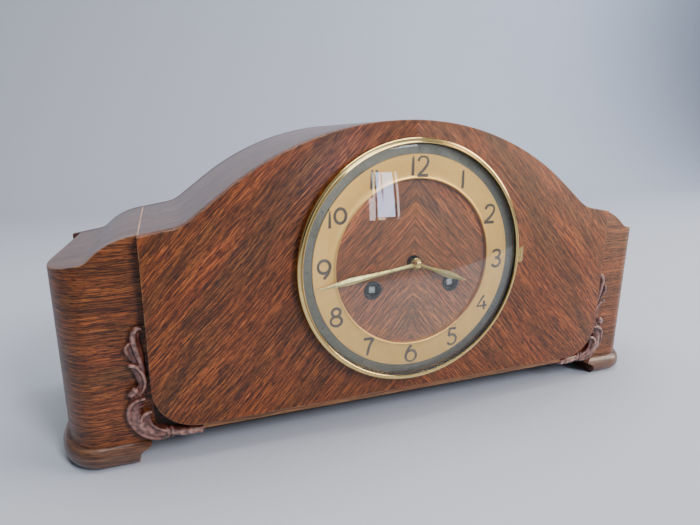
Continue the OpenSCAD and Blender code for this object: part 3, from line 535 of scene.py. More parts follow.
@dataclass(frozen=True)
class Glow(Finish):
    """A lit or a black card, which the glass and the brass mirror."""

    colour: str = "000000"
    strength: float = 0.0

    def shade(self, tree: bpy.types.NodeTree) -> Socket:
        """Even light."""
        return add_node(
            tree, "Emission", inputs={"Color": linear(self.colour), "Strength": self.strength}
        ).outputs[0]


@dataclass(frozen=True)
class StudioPaper(Finish):
    """Matt pale grey-blue paper under and behind the clock."""

    colour: str = "a0a8b3"

    def shade(self, tree: bpy.types.NodeTree) -> Socket:
        """Even paper with a barely visible tooth."""
        place = add_node(tree, "TexCoord").outputs["Object"]
        tooth = add_node(tree, "TexNoise", inputs={"Vector": place, "Scale": 1 / (2 * MM), "Detail": 2.0})
        relief = add_node(
            tree, "Bump", inputs={"Height": tooth.outputs[0], "Distance": 0.1 * MM, "Strength": 0.3}
        )
        return add_node(
            tree,
            "BsdfPrincipled",
            inputs={
                "Base Color": linear(self.colour),
                "Roughness": 0.75,
                "Specular IOR Level": 0.2,
                "Normal": relief.outputs[0],
            },
        ).outputs[0]


PANEL_VENEER = Oak("chevron oak veneer", Grain.CHEVRON, slope=47.0)
WING_VENEER = Oak(
    "level oak veneer", Grain.LEVEL, dark="422410", mid="7b4a26", light="ad7140", streak_mm=(40.0, 0.8)
)
TOP_VENEER = Oak(
    "bent oak veneer", Grain.ARCHED, dark="452c20", mid="66432f", light="876047", roughness=0.34, coat=0.55
)
FOOT_OAK = Oak(
    "worn oak foot",
    Grain.LEVEL,
    dark="3d2b20",
    mid="60473a",
    light="836854",
    pore_share=0.5,
    rubbed_share=0.0,
    coat=0.5,
)
LIP_OAK = Oak("pale oak strip", Grain.LEVEL, dark="6e4a33", mid="97704f", light="b58d66", pore_share=0.4)
SEAM_GLUE = Oak("pale seam strip", Grain.LEVEL, dark="b79f88", mid="cdb59d", light="dcc7b2", pore_share=0.3)
CASE_OAK = Oak(
    "stained oak board", Grain.LEVEL, dark="2b1a12", mid="402819", light="57371f", coat=0.0, roughness=0.6
)
BACK_OAK = Oak(
    "stained back board", Grain.LEVEL, dark="2d1c13", mid="472d1c", light="603f27", coat=0.05, roughness=0.55
)
RAW_PINE = Oak(
    "glued pine block",
    Grain.LEVEL,
    dark="a98455",
    mid="c4a071",
    light="d8ba8c",
    pore_share=0.1,
    coat=0.0,
    roughness=0.7,
)
CARVING = CarvedBeech("carved beech")
BEZEL_BRASS = Metal("buffed turned brass", "ecd089", "a58a4b", 0.12, 0.3, Tooling.TURNED, 0.5, 0.003)
HAND_BRASS = Metal("buffed hand brass", "e6cc84", "93804b", 0.17, 0.35)
# Darker copy of the hand brass for the hour hand: partly tarnish, partly painted shade.
HOUR_BRASS = Metal("hand brass darkened by tarnish and painted shade", "a4925c", "6a5c38", 0.3, 0.7)
HINGE_BRASS = Metal("dull hinge brass", "b3954f", "6b5730", 0.34, 0.7)
DIAL_GOLD = Metal("lacquered gold brass", "f0b964", "bb8a44", 0.34, 0.3, Tooling.TURNED, 0.3, 0.003, 0.45)
DIAL_SILVER = Metal("darkened silvered brass", "6b655a", "4e4a41", 0.42, 0.5, Tooling.TURNED, 0.3, 0.003, 0.3)
WHEEL_BRASS = Metal("lined clock brass", "d3ad5c", "8a6c34", 0.28, 0.35, Tooling.DRAWN, 0.25, 0.006)
CLOCK_STEEL = Metal("drawn bright steel", "b9b9b6", "77756f", 0.24, 0.3, Tooling.DRAWN, 0.25, 0.004)
EYELET_STEEL = Metal("blackened steel ring", "303133", "1b1b1c", 0.34, 0.4)
# Near black: on the spring ring behind the glass this is partly blackened steel and partly painted shade and
# dark reflection at the glass's edge.
BLACKING_AND_EDGE_SHADE = Coated("blackened clip with painted edge shade", "17161a", "26242a", 0.45)
DIAL_INK = Coated("dark brown dial ink", "33231a", "41301f", 0.42, 0.8, 0.01)
TRACK_INK = Coated("black track ink", "2b2722", "3a352e", 0.5, 0.8, 0.01)
STOVE_PAINT = Coated("stove painted iron", "1c1d1f", "2c2d30", 0.45, 1.2, 0.06)
DOME_GLASS = ClearGlass("domed clock glass")


# ---------------------------------------------------------------- mesh tools


class Plane(Enum):
    """The sheet an outline is drawn on."""

    FACE = "upright, facing front: x and z"
    PLAN = "level, facing up: x and y"
    TURN = "half of a turned section: radius from the dial's axis and height over the panel"


def link(name: str, data: bpy.types.ID) -> bpy.types.Object:
    """Makes an object of a mesh, a curve, a lamp or a camera and puts it in the scene."""
    made = bpy.data.objects.new(name, data)
    bpy.context.scene.collection.objects.link(made)
    return made


def whole(bm: bmesh.types.BMesh) -> list:
    """Everything in a mesh, as the operators take it."""
    return bm.verts[:] + bm.edges[:] + bm.faces[:]


def drawn_verts(made: dict, key: str = "geom") -> list[bmesh.types.BMVert]:
    """The points among what an operator made."""
    return [g for g in made[key] if isinstance(g, bmesh.types.BMVert)]


def pull(bm: bmesh.types.BMesh, way: Sequence[float]) -> None:
    """Draws every edge out one way into a sheet."""
    drawn = bmesh.ops.extrude_edge_only(bm, edges=bm.edges[:])
    bmesh.ops.translate(bm, verts=drawn_verts(drawn), vec=way)


def to_side(bm: bmesh.types.BMesh, side: int) -> None:
    """Mirrors a mesh that was built on the right when its side is the left one, -1."""
    if side < 0:
        bmesh.ops.scale(bm, verts=bm.verts[:], vec=(-1, 1, 1))
        bmesh.ops.reverse_faces(bm, faces=bm.faces[:])


def take_mesh(bm: bmesh.types.BMesh, bench: bpy.types.Object) -> None:
    """Adds an object's finished mesh to a bmesh and removes the object."""
    bpy.context.view_layer.update()
    made = bpy.data.meshes.new_from_object(bench.evaluated_get(bpy.context.evaluated_depsgraph_get()))
    bm.from_mesh(made)
    bpy.data.objects.remove(bench)
    bpy.data.meshes.remove(made)


def add_mesh(bm: bmesh.types.BMesh, other: bmesh.types.BMesh) -> None:
    """Adds one bmesh to another and uses it up."""
    mesh = bpy.data.meshes.new("joined")
    other.to_mesh(mesh)
    other.free()
    bm.from_mesh(mesh)
    bpy.data.meshes.remove(mesh)


def hole(bm: bmesh.types.BMesh, at: Sequence[float], radius: float, segments: int) -> None:
    """Draws a round hole's outline on a sheet that faces front or back."""
    place = Matrix.Translation(at) @ Matrix.Rotation(math.pi / 2, 4, "X")
    bmesh.ops.create_circle(bm, segments=segments, radius=radius, matrix=place)


class Brush:
    """Strokes of a round brush, drawn as one curve."""

    def __init__(self, radius: float, corners: int) -> None:
        """Takes up the brush.

        Args:
            radius: The stroke's radius where a point's swell is 1.
            corners: How finely the stroke is rounded.
        """
        self.curve = bpy.data.curves.new("strokes", "CURVE")
        self.curve.dimensions, self.curve.resolution_u, self.curve.use_fill_caps = "3D", 8, True
        self.curve.bevel_depth, self.curve.bevel_resolution = radius, corners

    def stroke(self, points: Sequence[tuple[Sequence[float], float]], smooth: bool, closed: bool) -> None:
        """Draws one stroke.

        Args:
            points: Each point's place and swell.
            smooth: Whether it bends at its points, or turns sharply.
            closed: Whether it returns to its first point.
        """
        spline = self.curve.splines.new("BEZIER")
        spline.bezier_points.add(len(points) - 1)
        spline.use_cyclic_u = closed
        for point, (place, swell) in zip(spline.bezier_points, points):
            point.co, point.radius = place, swell
            point.handle_left_type = point.handle_right_type = "AUTO" if smooth else "VECTOR"

    def lift(self, bm: bmesh.types.BMesh) -> None:
        """Adds what was drawn to a bmesh."""
        take_mesh(bm, link("strokes", self.curve))


class Pen:
    """Draws an outline in a bmesh: straight runs extrude a point, round runs spin it."""

    def __init__(self, bm: bmesh.types.BMesh, plane: Plane, level: float, start: Point) -> None:
        """Puts the pen down.

        Args:
            bm: The mesh to draw in.
            plane: The sheet to draw on.
            level: The sheet's Y for FACE, its Z for PLAN, and unused for TURN.
            start: The first point.
        """
        self.bm, self.plane, self.level = bm, plane, level
        self.tip = bm.verts.new(self.place(start))
        self.first = self.tip

    def place(self, point: Point) -> Vector:
        """A drawn point's place in the clock."""
        across, along = point
        if self.plane is Plane.FACE:
            return Vector((across, self.level, along))
        if self.plane is Plane.PLAN:
            return Vector((across, along, self.level))
        return Vector((across, FRONT - along, DIAL_Z))

    def line(self, *points: Point) -> "Pen":
        """Draws straight runs through the points."""
        for point in points:
            self.tip = bmesh.ops.extrude_vert_indiv(self.bm, verts=[self.tip])["verts"][0]
            self.tip.co = self.place(point)
        return self

    def arc(self, middle: Point, degrees: float, steps: int) -> "Pen":
        """Draws a round run.

        Args:
            middle: The arc's centre.
            degrees: Its turn, anticlockwise as drawn.
            steps: How many straight pieces it has.

        Returns:
            The pen, at the arc's end.
        """
        axis = {Plane.FACE: (0, -1, 0), Plane.PLAN: (0, 0, 1), Plane.TURN: (0, 0, 1)}[self.plane]
        turn = -degrees if self.plane is Plane.TURN else degrees
        spun = bmesh.ops.spin(
            self.bm,
            geom=[self.tip],
            cent=self.place(middle),
            axis=axis,
            angle=math.radians(turn),
            steps=steps,
            use_duplicate=False,
        )
        self.tip = drawn_verts(spun, "geom_last")[0]
        return self

    def close(self) -> None:
        """Joins the last point to the first one."""
        bmesh.ops.contextual_create(self.bm, geom=[self.tip, self.first])
        bmesh.ops.remove_doubles(self.bm, verts=self.bm.verts[:], dist=HAIR / 4)


def fill(bm: bmesh.types.BMesh, normal: Vector) -> list[bmesh.types.BMFace]:
    """Fills closed outlines, leaving those inside others as holes."""
    made = bmesh.ops.triangle_fill(bm, edges=bm.edges[:], use_beauty=True, normal=normal)
    return [g for g in made["geom"] if isinstance(g, bmesh.types.BMFace)]


def thicken(bm: bmesh.types.BMesh, faces: Sequence[bmesh.types.BMFace], way: Vector) -> None:
    """Makes a solid of a flat sheet by drawing it out one way."""
    drawn = bmesh.ops.extrude_face_region(bm, geom=list(faces))
    bmesh.ops.translate(bm, verts=drawn_verts(drawn), vec=way)
    bmesh.ops.recalc_face_normals(bm, faces=bm.faces[:])


def round_over(
    bm: bmesh.types.BMesh,
    chosen: Callable[[bmesh.types.BMEdge], bool],
    radius: float,
    segments: int = 3,
    sharpest: float = 25.0,
) -> None:
    """Rounds the sharp edges that a test chooses, and marks the new faces as arris.

    Args:
        bm: The mesh.
        chosen: The test for an edge.
        radius: How far the rounding reaches from the edge.
        segments: How many faces it has across.
        sharpest: Edges flatter than this many degrees stay as they are.
    """
    arris = bm.faces.layers.float.get("arris") or bm.faces.layers.float.new("arris")
    edges = [
        e
        for e in bm.edges
        if len(e.link_faces) == 2 and e.calc_face_angle(0) > math.radians(sharpest) and chosen(e)
    ]
    made = bmesh.ops.bevel(
        bm,
        geom=edges,
        offset=radius,
        offset_type="OFFSET",
        segments=segments,
        profile=0.5,
        material=-1,
        affect="EDGES",
        clamp_overlap=False,
    )
    for face in made["faces"]:
        face[arris] = 1.0


def turn_round(bm: bmesh.types.BMesh, steps: int) -> None:
    """Spins what is drawn on the TURN sheet once round the dial's axis."""
    bmesh.ops.spin(
        bm,
        geom=bm.verts[:] + bm.edges[:],
        cent=(0, FRONT, DIAL_Z),
        axis=DEPTH,
        angle=2 * math.pi,
        steps=steps,
        use_merge=True,
        use_duplicate=False,
    )
    bmesh.ops.remove_doubles(bm, verts=bm.verts[:], dist=HAIR / 4)
    bmesh.ops.recalc_face_normals(bm, faces=bm.faces[:])


def lies_at(value: float, pick: Callable[[Vector], float]) -> Callable[[bmesh.types.BMEdge], bool]:
    """A test for edges both of whose ends have one measure at a value."""
    return lambda edge: all(abs(pick(v.co) - value) < HAIR for v in edge.verts)


def from_modifiers(bm: bmesh.types.BMesh, add: Callable[[bpy.types.Object], None]) -> bmesh.types.BMesh:
    """Runs modifiers on a bmesh.

    Args:
        bm: The mesh, which is used up.
        add: Adds the modifiers to the object it's given.

    Returns:
        A new bmesh with their result.
    """
    mesh = bpy.data.meshes.new("bench")
    bm.to_mesh(mesh)
    bm.free()
    bench = link("bench", mesh)
    add(bench)
    result = bmesh.new()
    take_mesh(result, bench)
    bpy.data.meshes.remove(mesh)
    return result


def carve(bm: bmesh.types.BMesh, tool: bmesh.types.BMesh) -> bmesh.types.BMesh:
    """Cuts one closed mesh out of another and returns what is left."""
    mesh = bpy.data.meshes.new("tool")
    tool.to_mesh(mesh)
    tool.free()
    cutter = link("tool", mesh)

    def cut(bench: bpy.types.Object) -> None:
        """Adds the cut."""
        step = bench.modifiers.new("cut", "BOOLEAN")
        step.operation, step.solver, step.object = "DIFFERENCE", "EXACT", cutter

    left = from_modifiers(bm, cut)
    bpy.data.objects.remove(cutter)
    bpy.data.meshes.remove(mesh)
    return left


def publish(
    bm: bmesh.types.BMesh,
    name: str,
    finish: Finish,
    body: str,
    nodes: Iterable[str] = (),
    sharp: float = 32.0,
) -> bpy.types.Object:
    """Makes a finished mesh a piece of the clock.

    Args:
        bm: The mesh, in the clock's frame, which is used up.
        name: The piece's name.
        finish: What it is made of.
        body: The body it moves with.
        nodes: The parts it stands for.
        sharp: Edges sharper than this many degrees are shaded sharp.

    Returns:
        The piece.
    """
    mesh = bpy.data.meshes.new(name)
    bm.to_mesh(mesh)
    bm.free()
    mesh.polygons.foreach_set("use_smooth", [True] * len(mesh.polygons))
    mesh.set_sharp_from_angle(angle=math.radians(sharp))
    mesh.materials.append(finish.material())
    piece = link(name, mesh)
    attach(piece, body)
    if nodes:
        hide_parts(*nodes)
    LOG.info("%s: %d faces, %s, on %s", name, len(mesh.polygons), finish.name, body)
    return piece


# ---------------------------------------------------------------- case


@dataclass
class CaseLine:
    """The case's top line, the same on both sides: arch, slope, hollow, shoulder, round and hollow."""

    peak: float = field(default_factory=lambda: high("front_panel").z)
    seam: float = field(default_factory=lambda: high("top_skin").x)
    arch_r: float = 216 * MM
    arch_fall: float = 38.0
    slope_len: float = 27.3 * MM
    hollow_r: float = 28 * MM
    shoulder_fall: float = 10.0
    round_r: float = 47 * MM
    round_fall: float = 45.0
    foot_r: float = 13 * MM

    def __post_init__(self) -> None:
        """Works out each arc's centre and end."""

        def out(degrees: float) -> Vector:
            """The way straight up, leant outwards."""
            return Vector((math.sin(math.radians(degrees)), math.cos(math.radians(degrees))))

        def down(degrees: float) -> Vector:
            """The way outwards, leant down."""
            return Vector((math.cos(math.radians(degrees)), -math.sin(math.radians(degrees))))

        self.arch_c = Vector((0, self.peak - self.arch_r))
        self.arch_end = self.arch_c + self.arch_r * out(self.arch_fall)
        self.slope_end = self.arch_end + self.slope_len * down(self.arch_fall)
        self.hollow_c = self.slope_end + self.hollow_r * out(self.arch_fall)
        self.hollow_end = self.hollow_c - self.hollow_r * out(self.shoulder_fall)
        start_x = self.seam + 4 * MM
        fall = math.tan(math.radians(self.shoulder_fall))
        self.round_start = Vector((start_x, self.hollow_end.y - (start_x - self.hollow_end.x) * fall))
        self.round_c = self.round_start - self.round_r * out(self.shoulder_fall)
        self.round_end = self.round_c + self.round_r * out(self.round_fall)
        self.foot_c = self.round_end + self.foot_r * out(self.round_fall)
        self.foot_end = self.foot_c - self.foot_r * out(self.shoulder_fall)

    def height(self, x: float) -> float:
        """Height of the line at a distance from the middle."""
        x = abs(x)

        def bow(middle: Vector, radius: float, way: int) -> float:
            """Height of an arc at x, over its centre or under it."""
            return middle.y + way * math.sqrt(radius**2 - (x - middle.x) ** 2)

        def run(start: Vector, degrees: float) -> float:
            """Height of a straight run at x."""
            return start.y - (x - start.x) * math.tan(math.radians(degrees))

        for end, measure in (
            (self.arch_end, lambda: bow(self.arch_c, self.arch_r, 1)),
            (self.slope_end, lambda: run(self.arch_end, self.arch_fall)),
            (self.hollow_end, lambda: bow(self.hollow_c, self.hollow_r, -1)),
            (self.round_start, lambda: run(self.hollow_end, self.shoulder_fall)),
            (self.round_end, lambda: bow(self.round_c, self.round_r, 1)),
            (self.foot_end, lambda: bow(self.foot_c, self.foot_r, -1)),
        ):
            if x <= end.x:
                return measure()
        return run(self.foot_end, self.shoulder_fall)

    def draw_middle(self, pen: Pen, reach: float) -> Pen:
        """Draws the line from the left, where the pen is at -reach, to reach on the right."""
        turn = self.arch_fall - self.shoulder_fall
        pen.line((-self.hollow_end.x, self.hollow_end.y))
        pen.arc((-self.hollow_c.x, self.hollow_c.y), turn, 14)
        pen.line((-self.arch_end.x, self.arch_end.y))
        pen.arc((0, self.arch_c.y), -2 * self.arch_fall, 76)
        pen.line((self.slope_end.x, self.slope_end.y))
        pen.arc((self.hollow_c.x, self.hollow_c.y), turn, 14)
        return pen.line((reach, self.height(reach)))


@dataclass
class FrontPanel:
    """The veneered board with the arched top, its two rounded corners and the holes of the dial."""

    line: CaseLine
    corner: float = 30 * MM
    edge_round: float = 0.6 * MM
    hand_hole: float = 5.5 * MM
    wind_hole: float = 5.2 * MM
    strip_round: float = 1.2 * MM

    def build(self) -> None:
        """Builds the panel and the strip under it."""
        bm = bmesh.new()
        edge, bottom = high("front_panel").x, low("front_panel").z
        knee = edge - self.corner
        pen = Pen(bm, Plane.FACE, FRONT, (-edge, bottom + self.corner))
        pen.line((-edge, self.line.height(edge)))
        self.line.draw_middle(pen, edge)
        pen.line((edge, bottom + self.corner))
        pen.arc((knee, bottom + self.corner), -90, 24)
        pen.line((-knee, bottom))
        pen.arc((-knee, bottom + self.corner), -90, 24)
        pen.close()
        hole(bm, (0, FRONT, DIAL_Z), self.hand_hole, 48)
        for arbor in (centre("going_arbor"), centre("strike_arbor")):
            hole(bm, (arbor.x, FRONT, arbor.z), self.wind_hole, 48)
        sheet = fill(bm, -DEPTH)
        thicken(bm, sheet, DEPTH * (WING_FRONT - FRONT))
        round_over(bm, lies_at(FRONT, lambda co: co.y), self.edge_round)
        publish(bm, "veneered_panel", PANEL_VENEER, "case", ["front_panel"])

        strip = bmesh.new()
        lo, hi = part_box("front_lip")
        size = Matrix.Diagonal((hi.x - lo.x, hi.y - lo.y, hi.z - lo.z, 1))
        bmesh.ops.create_cube(strip, matrix=Matrix.Translation((lo + hi) / 2) @ size)
        round_over(strip, lies_at(lo.y, lambda co: co.y), self.strip_round)
        publish(strip, "under_strip", LIP_OAK, "case", ["front_lip"])


@dataclass
class BentTop:
    """The bent board over the middle of the case, from the panel to the back board."""

    line: CaseLine
    thickness: float = 5 * MM
    seam_w: float = 0.9 * MM
    seam_rise: float = 0.05 * MM

    def build(self) -> None:
        """Builds the board and the glue line at each end of it."""
        self.build_board()
        for side, name in ((1, "seam_right"), (-1, "seam_left")):
            bm = bmesh.new()
            x = self.line.seam
            depth = BACK - WING_FRONT
            size = Matrix.Diagonal((self.seam_w, depth, 2 * self.seam_rise, 1))
            at = Matrix.Translation((side * x, WING_FRONT + depth / 2, self.line.height(x)))
            lean = Matrix.Rotation(side * math.radians(self.line.shoulder_fall), 4, "Y")
            bmesh.ops.create_cube(bm, matrix=at @ lean @ size)
            publish(bm, name, SEAM_GLUE, "case")

    def build_board(self) -> None:
        """Draws the line, pulls it back into a sheet and gives it its thickness."""
        bm = bmesh.new()
        seam = self.line.seam
        self.line.draw_middle(Pen(bm, Plane.FACE, WING_FRONT, (-seam, self.line.height(seam))), seam)
        pull(bm, DEPTH * (BACK - WING_FRONT))
        bmesh.ops.recalc_face_normals(bm, faces=bm.faces[:])
        if max(bm.faces, key=lambda f: f.calc_center_median().z).normal.z < 0:
            bmesh.ops.reverse_faces(bm, faces=bm.faces[:])
        bmesh.ops.solidify(bm, geom=bm.faces[:], thickness=self.thickness)
        bmesh.ops.recalc_face_normals(bm, faces=bm.faces[:])
        end = lies_at(seam, lambda co: abs(co.x))
        top = self.line.height(seam)
        round_over(bm, lambda e: end(e) and all(v.co.z > top - HAIR for v in e.verts), 0.5 * MM, 2)
        publish(bm, "bent_top", TOP_VENEER, "case", ["top_skin"])


@dataclass
class Wing:
    """A hollow end of the case, whose front turns round into its side."""

    line: CaseLine
    side: int
    wall: float = 7 * MM
    flat: float = 33 * MM
    turn_w: float = 24.5 * MM
    turn_d: float = 40 * MM
    taper: float = 6.5 * MM
    straight: float = 7 * MM
    station: float = 1.5 * MM
    edge_round: float = 0.6 * MM
    foot_round: float = 7.2 * MM
    foot_toe: float = 8 * MM
    foot_arch: float = 11.8 * MM
    spare: float = 5 * MM

    def plan(self, pen: Pen, grow: float) -> Pen:
        """Draws the end's plan from the front, grown outwards, to the back."""
        turn_x = self.line.seam + self.flat
        radius = self.turn_w + grow
        pen.line((turn_x, WING_FRONT - grow))
        first = len(pen.bm.verts)
        pen.arc((turn_x, WING_FRONT - grow + radius), 90, 24)
        pen.bm.verts.ensure_lookup_table()
        bend = pen.bm.verts[first - 1 :]
        deepen = (self.turn_d + grow) / radius
        bmesh.ops.scale(
            pen.bm, verts=bend, vec=(1, deepen, 1), space=Matrix.Translation((0, grow - WING_FRONT, 0))
        )
        bend_end = WING_FRONT + self.turn_d + self.straight
        return pen.line((turn_x + radius, bend_end), (turn_x + radius - self.taper, BACK))

    def build(self) -> None:
        """Builds the plan in strips, raises them to the top line and hollows the shell."""
        name = "wing_right" if self.side > 0 else "wing_left"
        bm = bmesh.new()
        floor = low(name).z
        seam = self.line.seam
        pen = Pen(bm, Plane.PLAN, floor, (seam, WING_FRONT))
        self.plan(pen, 0.0).line((seam, BACK)).close()
        fill(bm, UP)
        bmesh.ops.dissolve_limit(bm, angle_limit=0.01, verts=bm.verts[:], edges=bm.edges[:], delimit=set())
        x = seam + self.station
        while x < self.line.foot_end.x:
            bmesh.ops.bisect_plane(bm, geom=whole(bm), dist=HAIR / 4, plane_co=(x, 0, 0), plane_no=(1, 0, 0))
            x += self.station
        thicken(bm, bm.faces[:], UP * 50 * MM)
        for vert in bm.verts:
            if vert.co.z > floor + HAIR:
                vert.co.z = self.line.height(vert.co.x)
        unseen = [
            f
            for f in bm.faces
            if all(v.co.z < floor + HAIR for v in f.verts)
            or all(v.co.x < seam + HAIR for v in f.verts)
            or all(v.co.y > BACK - HAIR for v in f.verts)
        ]
        bmesh.ops.delete(bm, geom=unseen, context="FACES")
        round_over(bm, lambda e: all(v.co.z > floor + HAIR for v in e.verts), self.edge_round, 2, 40.0)
        arris = bm.faces.layers.float.get("arris")
        top = bm.copy()
        on_top = top.faces.layers.float.get("arris")
        low_faces = [f for f in top.faces if f[on_top] > 0 or any(v.co.z < floor + HAIR for v in f.verts)]
        bmesh.ops.delete(top, geom=low_faces, context="FACES")
        high_faces = [f for f in bm.faces if f[arris] == 0 and all(v.co.z > floor + HAIR for v in f.verts)]
        bmesh.ops.delete(bm, geom=high_faces, context="FACES")
        for sheet, part, finish, slot, nodes in (
            (bm, "_veneered", WING_VENEER, "wing_veneer", [name]),
            (top, "_top", TOP_VENEER, "top_veneer", []),
        ):
            bmesh.ops.solidify(sheet, geom=sheet.faces[:], thickness=self.wall)
            to_side(sheet, self.side)
            bmesh.ops.recalc_face_normals(sheet, faces=sheet.faces[:])
            publish(sheet, name + part, finish, "case", nodes, sharp=24.0)
        self.build_foot()

    def build_foot(self) -> None:
        """Builds the foot: a plank with a bull nose round the wing and a hollow inner end."""
        name = "foot_right" if self.side > 0 else "foot_left"
        lo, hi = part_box(name)
        inner = lo.x if self.side > 0 else -hi.x
        grow = WING_FRONT - lo.y
        bm = bmesh.new()
        pen = Pen(bm, Plane.PLAN, lo.z, (inner, lo.y))
        self.plan(pen, grow).line((inner, BACK)).close()
        thicken(bm, fill(bm, UP), UP * (hi.z - lo.z))

        def on_rim(edge: bmesh.types.BMEdge) -> bool:
            """Tells an edge of the nosed rim from one at the back or at the inner end."""
            return not all(v.co.y > BACK - HAIR or v.co.x < inner + HAIR for v in edge.verts)

        for level in (lo.z, hi.z):
            at = lies_at(level, lambda co: co.z)
            round_over(bm, lambda e, at=at: at(e) and on_rim(e), self.foot_round, 7)
        cutter = bmesh.new()
        out, toe = inner - self.spare, inner + self.foot_toe
        pen = Pen(cutter, Plane.FACE, lo.y - self.spare, (out, lo.z - self.spare))
        pen.line((toe, lo.z - self.spare), (toe, lo.z + 0.6 * MM), (toe + 0.8 * MM, lo.z + 3 * MM))
        pen.arc((inner + 0.6 * MM, lo.z + 3 * MM), 82, 12)
        pen.line((inner + 1.2 * MM, lo.z + self.foot_arch), (out, lo.z + self.foot_arch)).close()
        thicken(cutter, fill(cutter, -DEPTH), DEPTH * (hi.y - lo.y + 2 * self.spare))
        bm = carve(bm, cutter)
        to_side(bm, self.side)
        publish(bm, name + "_moulded", FOOT_OAK, "case", [name])


